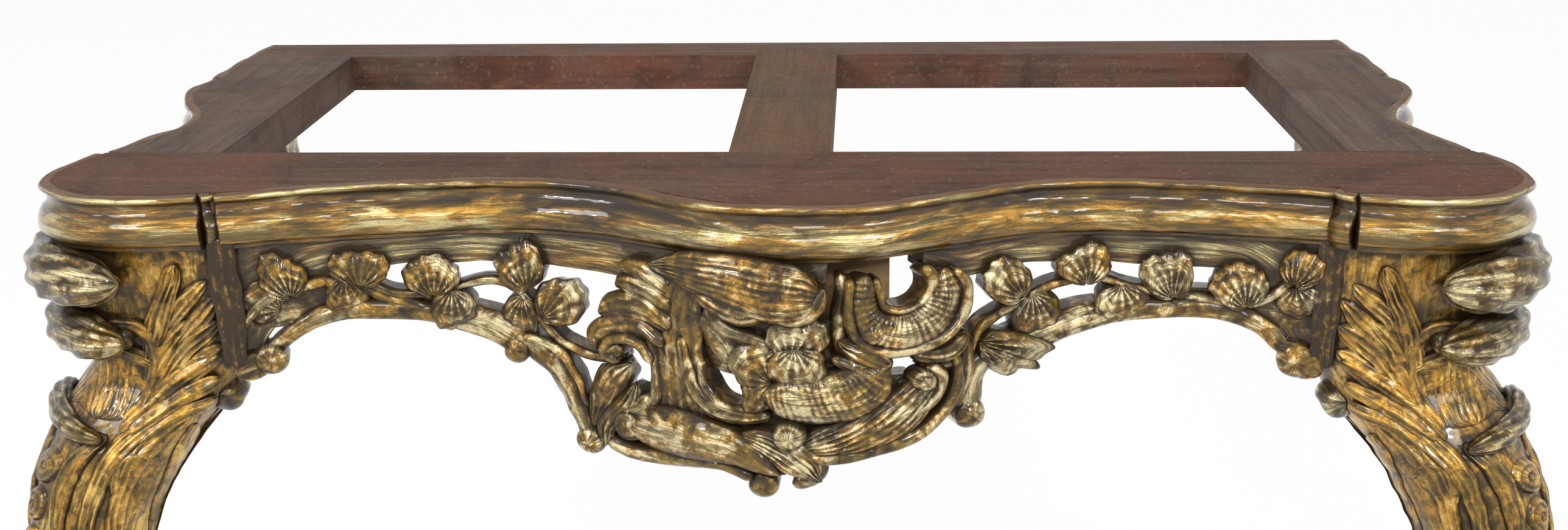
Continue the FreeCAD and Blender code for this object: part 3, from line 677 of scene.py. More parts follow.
silver_gold = (0.68, 0.56, 0.31)
yellow_gold = (0.62, 0.40, 0.10)
gilt_carving = gilding("gilt_carving", dirt_and_shade=0.74, ochre=0.66, bright=1.08, pale=silver_gold)
gilt_leg = gilding("gilt_leg", dirt_and_shade=0.5, ochre=0.92, bright=1.1, pale=yellow_gold)
gilt_roll = gilding("gilt_roll", dirt_and_shade=0.84, ochre=0.5, bright=0.95, pale=silver_gold)
gilt_moulding = gilding("gilt_moulding", dirt_and_shade=0.66, ochre=0.9, drawn=True, bright=0.85)
gilt_fascia = gilding("gilt_fascia", dirt_and_shade=0.72, ochre=0.8, drawn=True, bright=0.85)
print("gilding nodes:", len(gilt_carving.node_tree.nodes))

# %% [markdown]
# The boards were never meant to be seen. They are bare, dry and brown, with grain along
# their length, darker stains, and a redder wood in front. The grain is noise drawn out thin
# along the board. They keep their solids, so only their material changes.

# %% Bare wood
grain_long, grain_thin, wood_relief = 1.5, 34.0, 0.0012
dust_grey = (0.42, 0.34, 0.27)


def bare_wood(name, along, dark, light, red, reds=0.4, gloss=0.52):
    """Dry wood with its grain along X or Y, from a dark, a light and a red brown."""
    finish = Finish(name)
    scale = [grain_thin] * 3
    scale["XYZ".index(along)] = grain_long
    fine_scale = tuple(v * 5 for v in scale)
    grain = finish.noise(finish.stretched(scale), 1.0, 8.0, 0.62, 1.2)
    fine = finish.noise(finish.stretched(fine_scale, (3.0, 1.0, 7.0)), 1.0, 6.0, 0.7)
    spot = finish.node("ShaderNodeTexCoord", out="Object")
    stain = finish.noise(spot, 5.5, 5.0, 0.6, 0.5)
    shade = finish.noise(spot, 11.0, 6.0, 0.65, 0.8)
    dust = finish.noise(spot, 160.0, 5.0, 0.7)
    wood = finish.blend(grain.above(0.5, 0.5), dark, light)
    wood = finish.blend(stain.above(0.62 - 0.2 * reds, 0.3) * 0.8, wood, red)
    wood = finish.blend(fine.above(0.62, 0.2) * 0.45, wood, tuple(v * 0.45 for v in dark))
    wood = finish.blend(shade.above(0.58, 0.16) * 0.55, wood, tuple(v * 0.6 for v in dark))
    wood = finish.blend(dust.above(0.63, 0.14) * 0.22, wood, dust_grey)
    height = grain * 0.5 + fine * 0.5 + dust * 0.15
    return finish.surface({
        "Base Color": wood,
        "Specular IOR Level": 0.15,
        "Roughness": fine * 0.25 + gloss,
        "Normal": finish.bump(height, wood_relief, 0.5),
    })


front_wood = bare_wood("front_rail_wood", "X", (0.034, 0.016, 0.009), (0.120, 0.062, 0.035),
                       (0.115, 0.036, 0.017), 0.6)
back_wood = bare_wood("back_rail_wood", "X", (0.050, 0.028, 0.020), (0.145, 0.088, 0.062),
                      (0.140, 0.044, 0.022), 0.35)
side_wood = bare_wood("side_rail_wood", "Y", (0.055, 0.036, 0.026), (0.155, 0.105, 0.078),
                      (0.110, 0.052, 0.032), 0.25)
crossbar_wood = bare_wood("crossbar_wood", "Y", (0.060, 0.032, 0.014), (0.140, 0.078, 0.036),
                          (0.11, 0.046, 0.018), 0.35)
brace_wood = bare_wood("brace_wood", "X", (0.30, 0.19, 0.09), (0.46, 0.31, 0.16),
                       (0.34, 0.2, 0.1), 0.3, 0.6)

for node, material in {
    "front_rail": front_wood, "back_rail": back_wood, "side_rail_left": side_wood,
    "side_rail_right": side_wood, "centre_crossbar": crossbar_wood, "centre_brace": brace_wood,
    "glue_blocks": brace_wood,
}.items():
    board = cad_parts[node]
    board.data.materials.clear()
    board.data.materials.append(material)
print("boards finished")

# %% [markdown]
# The moulding is a strip glued to the edge of the boards: a thin rounded lip, a hollow under
# it, and a fat torus. Its profile is drawn once and swept along each line of the plan. A strip
# has more points near its ends, which are rounded off. One stretch left of the middle of the
# front is dark and worn, so its tone is lower there.

# %% Sweep of the moulding
profile = spline([(-1.6, 3.0), (-0.9, 0.2), (3.0, -0.2), (7.6, 0.2), (10.4, 1.6), (11.2, 3.8),
                  (10.0, 6.2), (7.2, 8.6), (5.4, 12.4), (5.4, 16.8), (7.8, 21.0), (12.2, 25.6),
                  (15.4, 31.6), (16.2, 38.4), (14.8, 45.4), (11.4, 50.4), (9.0, 52.6), (8.6, 55.0),
                  (5.0, 57.2), (-5.0, 57.4)], 56)

dark_place, dark_width = -185.0, 50.0
strip_middle = 30.0
end_steps = np.array([0.4, 1.2, 2.4, 4.0, 6.0, 8.0])


def moulding(rows, trim, round_start=4.0, round_end=4.0):
    """Sweep the profile along a plan line, keeping what `trim` allows of it."""
    line, out = plan_line(rows, 3.0 if len(rows) > 2 else 0.6)
    kept = [i for i, place in enumerate(line) if trim(place)]
    line, out = line[kept[0]:kept[-1] + 1], out[kept[0]:kept[-1] + 1]
    along = np.concatenate([[0.0], np.cumsum(np.linalg.norm(np.diff(line, axis=0), axis=1))])
    extra = end_steps[end_steps < along[-1] / 2]
    at = np.unique(np.concatenate([along[1:-1], extra, along[-1] - extra, [0.0, along[-1]]]))
    line = np.stack([np.interp(at, along, line[:, i]) for i in range(2)], 1)
    out = np.stack([np.interp(at, along, out[:, i]) for i in range(2)], 1)
    taper = np.ones_like(at)
    for size, distance in ((round_start, at), (round_end, at[-1] - at)):
        if size:
            taper *= np.sqrt(np.clip(1 - (1 - np.clip(distance / size, 0.0, 1.0)) ** 2, 0.04, 1))
    reach = np.where(profile[:, 0] > 0, profile[:, 0] * taper[:, None], profile[:, 0])
    drop = strip_middle + (profile[:, 1] - strip_middle) * (0.9 + 0.1 * taper[:, None])
    points = np.stack([line[:, 0, None] + out[:, 0, None] * reach,
                       line[:, 1, None] + out[:, 1, None] * reach, -drop], -1)
    # Painted shade: the tone is low in the hollow under the lip and on the underside of the torus, and
    # high on its bulge. It is also lower at the rounded ends by the gaps.
    tone = 0.4 + 0.45 * np.clip((profile[:, 0] - 6.0) / 9.0, 0, 1) - 0.4 * (1 - taper[:, None])
    tone = tone - 0.25 * np.clip((profile[:, 1] - 38.0) / 14.0, 0, 1)
    return points, tone - np.exp(-((line[:, 0, None] - dark_place) / dark_width) ** 2)


print("the profile reaches, in mm:", profile.max(0).round(1))

# %% [markdown]
# There are seven strips. Narrow dark gaps stay open between them. A short return fills the step
# in the plan between the bowed front and the corner's lobe. A strip is a smooth run and not
# carving, so it gets less unevenness.

# %% Strips of the moulding
strip_hand = 0.8
half_gap = 1.0
stop_end = break_half + 12.0
side_end = 345.0
front_strip = moulding(front_rows, lambda p: abs(p[0]) < break_half - half_gap)
make_piece("moulding_front_strip", [front_strip], gilt_moulding, ["moulding_front"],
           strip_hand)
strips = {
    "moulding_corner": [
        moulding(lobe_rows, lambda p: p[0] > stop_end - half_gap and p[1] < -half_gap),
        moulding([(break_half + 1, -128), (break_half + 3, -139), (stop_end, -146)],
                 lambda p: True, 1.0, 3.0)],
    "moulding_side": [moulding(side_rows, lambda p: half_gap < p[1] < side_end - half_gap)],
    "moulding_rear": [moulding(rear_rows, lambda p: p[1] > side_end + half_gap, round_end=0.0)],
}
for stem, lattices in strips.items():
    make_both(stem, "strip", lattices, gilt_moulding, strip_hand)

# %% [markdown]
# Behind the carving of the front lies the frieze, a board bent to the bow. Its lower edge was
# sawn freehand and is scalloped. It is made in three boards: one behind each vine, and a shallow
# one over the left part of the cartouche.

# %% Frieze of the front
frieze_edges = {
    "vine_apron_left": [(-553, -196), (-540, -194), (-528, -184), (-519, -165), (-505, -146),
                        (-488, -122), (-475, -104), (-458, -95), (-400, -93), (-375, -92), (-330, -95),
                        (-300, -93), (-262, -97), (-240, -96), (-200, -99), (-150, -102)],
    "cartouche": [(-152, -102), (-100, -104), (-60, -104), (-20, -104), (20, -100), (48, -92), (56, -84)],
    "vine_apron_right": [(150, -77), (165, -84), (183, -92), (225, -92), (248, -89), (292, -90),
                         (345, -92), (380, -95), (415, -95), (440, -94), (468, -100), (488, -120),
                         (506, -146), (522, -168), (534, -190), (544, -200), (553, -202)],
}
frieze_top, frieze_back = -44.0, 30.0


def frieze(edge):
    """A bent board under the rail, down to its sawn and rounded edge."""
    line = spline(edge, 150)
    loop = [(share, 0.0) for share in (0.0, 0.3, 0.6, 0.8, 0.93, 0.985)]
    loop += [(1.0, -2.0), (1.0, -6.0)] + [(share, -frieze_back) for share in (0.985, 0.5, 0.0)]
    points = np.array([[(x, frieze_top + share * (z - frieze_top), proud) for share, proud in loop]
                       for x, z in line])
    # Painted shade: the tone is lower at the top under the moulding, round the sawn edge and on the back.
    tone = np.array([0.35, 0.5, 0.75, 0.7, 0.6, 0.6, 0.5, 0.3, 0.2, 0.2, 0.2])
    return points, np.broadcast_to(tone, points.shape[:2]), 0.0


for node, edge in frieze_edges.items():
    make_piece(node + "_frieze", laid([frieze(edge)], on_front), gilt_fascia, [node])

# %% [markdown]
# The left vine: a stem winds under the frieze, its leaves cover the joints, and a rim runs
# along the arch down to the foot of the cartouche. The left end, by the leg, is solid, and a
# dark fluted strip covers its joint with the leg.

# %% Left vine
left_vine = [
    band([(-549, -118, 27, 1), (-520, -122, 28, 1), (-490, -118, 29, 1), (-455, -118, 26, 1),
          (-425, -119, 24, 1), (-400, -130, 17, 1), (-365, -137, 16, 1), (-335, -145, 17, 1)],
         lift=0, back=26, columns=10, spacing=4, ends=(0.1, 0.6)),
    band([(-549, -150, 30, 1), (-535, -160, 28, 1), (-520, -172, 16, 1)], lift=-2, back=26,
         ends=(0.1, 1)),
    band([(-521, -184, 7, 5), (-510, -172, 8, 6), (-492, -157, 8, 6), (-465, -141, 10, 7),
          (-430, -135, 11, 8), (-395, -138, 12, 9), (-360, -144, 12, 9), (-325, -156, 12, 9),
          (-295, -169, 12, 9), (-268, -185, 12, 8)], lift=2),
    band([(-345, -142, 9, 6), (-310, -150, 12, 7), (-285, -162, 14, 8), (-262, -176, 15, 9),
          (-238, -193, 15, 10), (-220, -214, 15, 10), (-208, -242, 13, 9), (-200, -268, 11, 8),
          (-196, -288, 9, 6)], lift=2, flutes=1, cut=0.8),
    band([(-262, -174, 5, 5), (-240, -181, 6, 6), (-222, -194, 6, 7), (-206, -218, 5, 6),
          (-196, -250, 3, 4)], lift=9, back=14),
    band([(-542, -150, 4, 4), (-525, -128, 6, 6), (-505, -115, 7, 6), (-480, -108, 7, 6),
          (-455, -104, 6, 6), (-432, -104, 5.5, 6), (-412, -110, 5.5, 6), (-390, -121, 5.5, 6),
          (-365, -124, 5.5, 6), (-340, -122, 5, 6), (-312, -115, 4.5, 6), (-290, -112, 5, 6),
          (-270, -118, 5, 6), (-254, -132, 6, 6), (-240, -152, 6, 6), (-228, -172, 6, 6),
          (-205, -187, 6, 6), (-175, -191, 6, 6), (-150, -186, 5, 5)], back=20),
    band([(-420, -112, 4, 4), (-395, -127, 7, 5), (-370, -137, 7, 5), (-345, -150, 5, 4)], lift=5,
         back=14, flutes=2, cut=0.6),
    fan((-489, -120), (-506, -73), 9, lift=7, crown=9, back=18, wide=0.9),
    fan((-500, -132), (-538, -112), 6, lift=3, crown=5, back=18, tint=-0.2),
    fan((-425, -114), (-421, -73), 9, lift=9, crown=8, back=20, wide=1.35),
    fan((-437, -101), (-436, -141), 8, lift=7, back=20, wide=1.05, tint=-0.1),
    fan((-455, -112), (-446, -103), 4, lift=10, crown=3, back=12, cut=0.3),
    fan((-352, -129), (-353, -84), 9, lift=8, crown=8, back=20, wide=1.12),
    fan((-331, -120), (-334, -166), 8, lift=9, crown=8),
    fan((-254, -124), (-268, -73), 8, lift=9, crown=9, wide=0.86),
    fan((-258, -128), (-268, -174), 7, wide=0.8, tint=-0.1),
    fan((-241, -152), (-198, -116), 7, lift=8, back=18, wide=0.8),
    band([(-550, -50, 13, 2), (-550, -90, 14, 2), (-550, -140, 14, 2), (-550, -190, 11, 2)], lift=9,
         flutes=3, cut=0.9, ends=(0.3, 0.5), tint=-0.95),
    band([(-515, -184, 12, 7), (-534, -190, 15, 7), (-552, -196, 14, 5)], flutes=2, cut=0.6,
         tint=-0.2),
    knob(-515, -184, 16, lift=8, crown=11, back=30, cut=0.3),
    knob(-270, -190, 14, lift=7, crown=10, back=28),
    knob(-195, -289, 16, lift=5, crown=12, back=28),
]
make_piece("vine_left_carving", laid(left_vine, on_front), gilt_carving,
           ["vine_apron_left"])

# %% [markdown]
# The right vine is the left one's brother and not its mirror image. Its leaves are turned
# otherwise, and a long torn leaf lies on the arch where the left one has a curl.

# %% Right vine
right_vine = [
    band([(549, -118, 28, 1), (520, -122, 30, 1), (490, -122, 26, 1), (455, -129, 17, 1),
          (420, -130, 15, 1), (390, -131, 15, 1), (362, -134, 16, 1)], lift=0, back=26, columns=10,
         spacing=4, ends=(0.1, 0.6)),
    band([(549, -150, 32, 1), (538, -160, 30, 1), (522, -172, 18, 1)], lift=-2, back=26,
         ends=(0.1, 1)),
    band([(518, -180, 8, 5), (508, -166, 9, 6), (492, -150, 10, 7), (465, -139, 11, 8),
          (430, -135, 11, 8), (395, -137, 12, 9), (355, -143, 12, 9), (322, -151, 12, 9),
          (290, -164, 12, 8), (262, -180, 11, 7)], lift=2),
    band([(345, -139, 8, 5), (310, -146, 11, 7), (280, -158, 13, 8), (250, -168, 13, 8),
          (222, -180, 13, 8), (203, -199, 14, 9), (198, -222, 15, 9), (201, -246, 11, 6)], lift=1,
         flutes=1, cut=0.8),
    band([(540, -92, 4, 4), (520, -98, 5, 6), (502, -116, 6, 6), (480, -127, 6, 6),
          (450, -128, 5.5, 6), (420, -123, 5.5, 6), (390, -121, 5.5, 6), (365, -118, 5.5, 6),
          (345, -111, 5, 6), (322, -106, 5, 6), (300, -109, 5, 6), (280, -114, 5, 6),
          (255, -126, 5.5, 6), (230, -137, 6, 6), (212, -150, 6, 6), (202, -166, 6, 6),
          (198, -184, 6, 6)], back=20),
    fan((517, -106), (532, -68), 9, lift=8, crown=9, back=18, wide=0.95),
    fan((520, -104), (532, -140), 7, lift=5, back=18, wide=1.05, tint=-0.1),
    fan((477, -134), (458, -86), 9, lift=8, crown=9, wide=0.95),
    fan((406, -128), (388, -77), 9, lift=9, crown=8, wide=0.88),
    fan((318, -115), (313, -70), 9, lift=9, crown=9, wide=1.1),
    fan((354, -114), (356, -154), 8, lift=8, crown=6, wide=1.3),
    fan((252, -126), (221, -84), 8, lift=8, crown=8, back=20, wide=0.85),
    fan((262, -120), (276, -166), 8, crown=8, wide=0.95, tint=-0.15),
    fan((208, -164), (283, -190), 5, lift=9, crown=8, back=20, cut=1.8, wide=0.42),
    fan((212, -172), (252, -206), 4, lift=8, back=18, cut=1.5, wide=0.5),
    fan((216, -168), (268, -202), 4, lift=7, back=18, cut=1.5, wide=0.42),
    band([(551, -50, 12, 1), (551, -90, 13, 1), (551, -140, 13, 1), (551, -194, 10, 1)], lift=8,
         flutes=3, cut=0.9, ends=(0.3, 0.5), tint=-0.75),
    band([(510, -168, 12, 6), (530, -184, 18, 8), (552, -200, 15, 6)], flutes=3, cut=0.6),
    knob(527, -185, 20, lift=4, crown=12, back=28, cut=0.3),
    knob(201, -244, 16, lift=4, crown=11, back=28),
]
make_piece("vine_right_carving", laid(right_vine, on_front), gilt_carving,
           ["vine_apron_right"])

# %% [markdown]
# The cartouche was carved from a thicker block. It has a dark fluted plume at the top, a
# scrolling acanthus at the left, a U-shaped rocaille at the right, and shells between them. A
# smooth wave runs along the foot. Its strokes lie in three depths over thin grounds, and
# the openings are left where no stroke passes. The grounds come first: they are what is left
# of the block behind the carving, and they hold it together.

# %% Grounds of the cartouche


def ground(rows, lift=0, back=26, end=0.3):
    """A thin flat stroke, 1 mm proud, from rows of X, Z and half width."""
    return band([(*row, 1) for row in rows], lift=lift, back=back, columns=8, spacing=5,
                ends=(end, end))


cartouche = [
    ground([(-82, -88, 36), (-84, -130, 34), (-92, -175, 26), (-95, -215, 24), (-80, -262, 30)]),
    ground([(-70, -152, 24), (-20, -152, 30), (20, -150, 32), (72, -150, 26), (112, -162, 14)]),
    ground([(-18, -202, 22), (40, -204, 26), (95, -206, 24), (150, -206, 22)], lift=2),
    ground([(-172, -262, 26), (-110, -264, 30), (-50, -252, 32), (10, -255, 34),
            (60, -245, 20), (120, -240, 20), (170, -215, 20)], lift=1, end=0.5),
    ground([(-165, -196, 14), (-170, -225, 20), (-172, -255, 20)], back=24, end=0.5),
    ground([(178, -150, 14), (182, -185, 16), (186, -225, 12)], end=0.5),
]
print("grounds:", len(cartouche))

# %% [markdown]
# The plume is one wide ridge with many fine flutes, and two small ones hang below it. The
# acanthus at the left curls round a knob. A broad hollow stalk joins them to the foot.

# %% Plume, acanthus and stalk
cartouche += [
    band([(-122, -80, 10, 6), (-80, -78, 20, 10), (-30, -84, 30, 15), (18, -93, 31, 16),
          (52, -98, 20, 9)], lift=16, back=26, flutes=8, drift=-0.045, cut=0.9, columns=50,
         ends=(1.6, 0.9), tint=-0.22),
    band([(-72, -98, 8, 6), (-44, -111, 12, 8), (-16, -113, 12, 8), (-4, -102, 10, 5)], lift=17,
         back=20, flutes=3, drift=-0.03, cut=0.9, columns=26, tint=-0.2),
    band([(-2, -96, 12, 6), (18, -114, 13, 8), (42, -106, 12, 7), (54, -88, 8, 4)], lift=18,
         back=20, flutes=3, drift=-0.03, cut=0.9, columns=26, tint=-0.2),
    band([(-62, -112, 6, 5), (-50, -128, 8, 6), (-28, -138, 8, 6), (-6, -146, 8, 6),
          (8, -162, 6, 4)], lift=10, back=18, flutes=2, cut=0.7),
    band([(-98, -104, 12, 6), (-120, -92, 13, 8), (-140, -86, 10, 7), (-154, -92, 6, 4)], lift=9,
         back=18, flutes=3, cut=0.9, columns=26),
    band([(-98, -124, 12, 7), (-124, -112, 15, 9), (-148, -106, 12, 8), (-160, -112, 7, 4)],
         lift=10, back=22, flutes=3, cut=1.0, columns=26),
    band([(-100, -146, 12, 8), (-128, -130, 16, 10), (-156, -132, 16, 10), (-178, -142, 10, 6)],
         lift=12, flutes=3, cut=1.1, columns=28, lobes=0.06),
    band([(-108, -166, 8, 7), (-132, -152, 11, 9), (-160, -154, 13, 10), (-182, -168, 11, 8),
          (-181, -184, 7, 5)], lift=14, flutes=2, cut=1.0, columns=24),
    band([(-122, -188, 5, 6), (-134, -172, 7, 8), (-152, -166, 8, 9), (-170, -174, 8, 8),
          (-172, -188, 7, 7), (-160, -195, 6, 5)], lift=17, back=22, flutes=1, cut=0.6),
    knob(-163, -181, 10, lift=15, crown=8, back=18),
    band([(-86, -88, 24, 6), (-94, -122, 27, 8), (-94, -160, 26, 8), (-92, -200, 26, 8),
          (-88, -235, 28, 8), (-78, -256, 22, 4)], lift=9, flutes=5, cut=0.7, hollow=3.5,
         columns=50, ends=(0.5, 0.5)),
    band([(-126, -150, 5, 6), (-119, -178, 6, 7), (-116, -205, 7, 7), (-122, -232, 8, 7),
          (-138, -246, 6, 4)], lift=10, back=22, flutes=1, cut=0.6),
    band([(-84, -118, 5, 4), (-66, -128, 14, 5), (-44, -150, 18, 5), (-34, -172, 10, 3)], lift=5,
         back=18, flutes=1, cut=0.5, columns=22, ends=(0.8, 0.6), tint=-0.1),
]
print("with the plume, the acanthus and the stalk:", len(cartouche))

# %% [markdown]
# Rims run round the openings. Fans make the shells in the middle, and a wide stroke with flutes
# across it makes the ribbed shell below them.

# %% Openings' rims and the shells
cartouche += [
    band([(-90, -150, 5, 6), (-86, -180, 8, 8), (-76, -205, 9, 9), (-55, -222, 9, 9),
          (-28, -227, 8, 8), (2, -222, 5, 5)], lift=12, flutes=2, cut=1.0, columns=24),
    band([(-70, -170, 5, 5), (-66, -195, 6, 7), (-52, -213, 6, 7), (-32, -219, 6, 6),
          (-14, -212, 5, 5)], lift=9, flutes=1, cut=0.5),
    fan((2, -186), (-30, -150), 6, lift=13, crown=8, cut=1.2, wide=1.1),
    fan((-2, -190), (-30, -200), 5, lift=11, cut=1.1, wide=0.9),
    fan((2, -184), (-22, -222), 5, lift=13, cut=1.1, wide=0.7),
    fan((22, -166), (34, -114), 9, lift=15, crown=9, back=24, cut=1.2, wide=1.05),
    fan((26, -146), (30, -194), 8, lift=20, crown=10, back=28, cut=1.1, wide=1.2),
    fan((8, -150), (2, -180), 5, lift=15, back=20, wide=0.9),
    band([(-8, -198, 14, 8), (22, -202, 25, 12), (58, -203, 28, 14), (92, -195, 28, 12),
          (118, -176, 17, 6)], lift=18, back=30, cross=6.4, slant=0.3, cut=0.75, columns=28,
         spacing=1.3, ends=(0.9, 0.9)),
    band([(62, -160, 5, 4), (84, -172, 8, 6), (108, -176, 8, 6), (122, -170, 5, 4)], lift=17,
         back=20, flutes=2, cut=0.8),
]
print("with the rims and the shells:", len(cartouche))

# %% [markdown]
# The smooth wave at the foot catches the light. Leaves hang at its left, a fluted wing rises at
# its right, and knobs end the scrolls.

# %% Wave, wing and foot
cartouche += [
    band([(-152, -262, 18, 7), (-122, -262, 26, 10), (-85, -260, 27, 11), (-50, -260, 22, 11),
          (-18, -270, 15, 9), (8, -288, 9, 5)], lift=16, back=28, flutes=1, cut=0.9, columns=30,
         ends=(0.9, 1), tint=0.12),
    band([(-176, -284, 8, 6), (-150, -292, 9, 8), (-118, -292, 9, 8), (-80, -287, 8, 8),
          (-45, -284, 8, 8), (-18, -294, 8, 7)], lift=12, back=26, flutes=1, cut=0.4),
    band([(-30, -246, 8, 5), (-2, -252, 15, 8), (22, -266, 20, 10), (42, -284, 14, 8),
          (50, -296, 6, 4)], lift=15, back=26, flutes=7, cut=1.1, columns=40),
    band([(40, -262, 8, 5), (50, -276, 9, 6), (42, -290, 9, 6), (20, -298, 8, 5)], lift=12, back=26),
    knob(-8, -300, 15, lift=8, crown=10, back=26),
    band([(-146, -196, 8, 5), (-160, -206, 15, 8), (-172, -224, 18, 9), (-184, -250, 12, 6),
          (-190, -272, 6, 4)], lift=9, flutes=4, columns=30),
    band([(-140, -214, 6, 5), (-146, -232, 11, 8), (-160, -250, 13, 8), (-176, -270, 11, 7),
          (-178, -292, 8, 5)], lift=13, flutes=4, columns=30),
    band([(-128, -226, 7, 5), (-136, -240, 10, 7), (-152, -246, 9, 7)], lift=15, back=20, flutes=2),
    knob(-150, -264, 18, lift=15, crown=10, back=24, twist=1.6, cut=1.6),
    band([(26, -254, 10, 6), (55, -250, 17, 9), (92, -241, 23, 12), (130, -224, 26, 12),
          (156, -204, 17, 8), (170, -190, 7, 4)], lift=14, back=28, flutes=7, drift=-0.16, cut=1.3,
         columns=52, spacing=1.6, ends=(0.9, 1)),
    band([(16, -262, 5, 5), (45, -268, 7, 7), (90, -266, 7, 7), (130, -258, 8, 7),
          (160, -246, 8, 7), (180, -226, 8, 7), (188, -200, 7, 6), (184, -174, 5, 4)], lift=15,
         back=26),
    band([(118, -236, 5, 5), (146, -228, 7, 7), (166, -212, 8, 8), (168, -192, 8, 8),
          (154, -182, 7, 6)], lift=17, flutes=1, cut=0.8),
    knob(152, -196, 12, lift=18, crown=10, back=24),
    knob(19, -243, 16, lift=22, crown=12, back=24, twist=1.5, cut=1.2),
]
print("with the wave, the wing and the foot:", len(cartouche))

# %% [markdown]
# The rocaille of the right side is a deep U with short flutes across it, between a smooth outer
# rim and an inner one. Small leaves fill its corners.

# %% Rocaille of the right side
cartouche += [
    band([(94, -76, 12, 6), (90, -100, 13, 8), (98, -125, 17, 10), (120, -139, 20, 12),
          (146, -138, 21, 13), (167, -122, 19, 11), (174, -100, 16, 9), (170, -80, 12, 6)], lift=15,
         back=28, cross=6.2, cut=0.8, columns=26, spacing=1.3, ends=(0.7, 0.9)),
    band([(80, -78, 5, 6), (77, -104, 6, 8), (81, -130, 6, 8), (98, -152, 7, 8), (124, -160, 7, 8),
          (152, -159, 7, 8), (176, -148, 7, 8), (192, -124, 7, 8), (194, -102, 7, 7),
          (184, -82, 5, 5)], lift=17, back=28),
    band([(150, -76, 5, 4), (160, -88, 7, 7), (157, -104, 6, 6), (146, -114, 5, 5),
          (128, -117, 5, 5), (112, -110, 5, 5), (106, -94, 5, 5), (104, -80, 5, 5)], lift=14,
         back=28),
    knob(100, -137, 12, lift=19, crown=9, back=20),
    band([(70, -72, 6, 4), (73, -98, 8, 6), (70, -128, 9, 7), (74, -152, 9, 7), (88, -170, 6, 4)],
         lift=9, flutes=1, cut=0.8),
    band([(68, -140, 8, 6), (86, -154, 13, 9), (106, -166, 14, 9), (120, -178, 8, 5)], lift=15,
         back=22, flutes=4, columns=30),
    band([(140, -164, 7, 6), (160, -170, 10, 8), (180, -168, 10, 8), (196, -156, 6, 4)], lift=11,
         back=22, flutes=3, cut=1.0, columns=24),
    band([(148, -176, 5, 4), (168, -182, 8, 6), (188, -180, 8, 6)], lift=8, back=22, flutes=2),
    band([(190, -150, 7, 5), (196, -176, 9, 7), (194, -204, 9, 7), (186, -232, 6, 4)], lift=6,
         flutes=2, cut=0.8),
]
make_piece("cartouche_carving", laid(cartouche, on_front), gilt_carving,
           ["cartouche"])
print("strokes of the cartouche:", len(cartouche))

# %% [markdown]
# Each leg is one block of wood: a square head under the rails, a narrow neck, a knee that
# sweeps out to the corner, and a slim ankle over a toe that spreads again. The body is drawn as
# rounded squares from the boards to the floor. Each row is a drop, a centre, half widths and how
# square it is. Angles round a leg are in degrees: -90 is its front and -45 its corner.

# %% Body of a front leg
row_step = 3.0
leg_middle = np.array([655.0, -80.0])
leg_rows = np.array([
    (-45.0, 632, -72, 83, 71, 6.0), (-95, 632, -72, 82, 71, 6.0), (-135, 630, -72, 81, 70, 5.0),
    (-160, 626, -68, 77, 69, 4.2), (-185, 629, -70, 79, 70, 3.8), (-208, 641, -72, 84, 74, 3.2),
    (-235, 660, -84, 86, 80, 2.7), (-270, 684, -108, 77, 77, 2.4), (-305, 703, -125, 71, 71, 2.3),
    (-345, 717, -141, 65, 65, 2.3), (-385, 725, -149, 61, 61, 2.3), (-430, 727, -151, 58, 58, 2.2),
    (-520, 725, -150, 52, 52, 2.1), (-620, 712, -137, 41, 41, 2.1), (-720, 692, -117, 33, 33, 2.1),
    (-790, 682, -107, 32, 32, 2.1), (-835, 697, -122, 40, 40, 2.2), (-862, 701, -126, 46, 46, 2.4),
    (-870, 701, -126, 45, 45, 2.4),
])


def leg_surface(turn, z, proud, rows):
    """A point of a leg: an angle round it in degrees, a drop, and how proud it stands."""
    row = [np.interp(-z, -rows[:, 0], rows[:, i]) for i in range(1, 6)]
    x, y, wide, deep, square = row
    cos, sin = np.cos(np.radians(turn)), np.sin(np.radians(turn))
    radius = ((np.abs(cos) / wide) ** square + (np.abs(sin) / deep) ** square) ** (-1 / square)
    return np.stack(np.broadcast_arrays(x + (radius + proud) * cos, y + (radius + proud) * sin, z), -1)


def smoothed(rows, step):
    """The rows at even drops, with their corners eased."""
    drops = np.append(np.arange(rows[0, 0], rows[-1, 0] + step / 2, -step), rows[-1, 0])
    rows = np.stack([drops] + [np.interp(-drops, -rows[:, 0], rows[:, i]) for i in range(1, 6)], 1)
    for _ in range(3):
        rows[1:-1, 1:] = (rows[:-2, 1:] + 2 * rows[1:-1, 1:] + rows[2:, 1:]) / 4
    return rows


def body(rows):
    """The bare body of a leg or a bracket, on the sections in its rows."""
    angles = np.linspace(0, 360, 120, endpoint=False)
    points = leg_surface(angles[None, :], rows[:, :1], np.zeros((1, 1)), rows)
    return points, np.full(points.shape[:2], 0.55)


leg_rows = smoothed(leg_rows, row_step)
print("leg rows:", len(leg_rows))

# %% [markdown]
# The leg's carving was drawn on a flat sheet that stands 150 mm in front of the opening, as
# the camera sees it. `seen_on_leg` finds the place on the body behind each point of that
# sheet by small steps: it moves round the leg and up or down until the camera would see it in
# the drawn place. The leg is the same on both sides of its corner, so each stroke is also
# turned over.

# %% Lay a drawing on a leg
sheet = -150.0
front_side, corner = -90.0, -45.0
turn_limits, drop_limits = (-176.0, -4.0), (-868.0, -40.0)
search_steps = 30


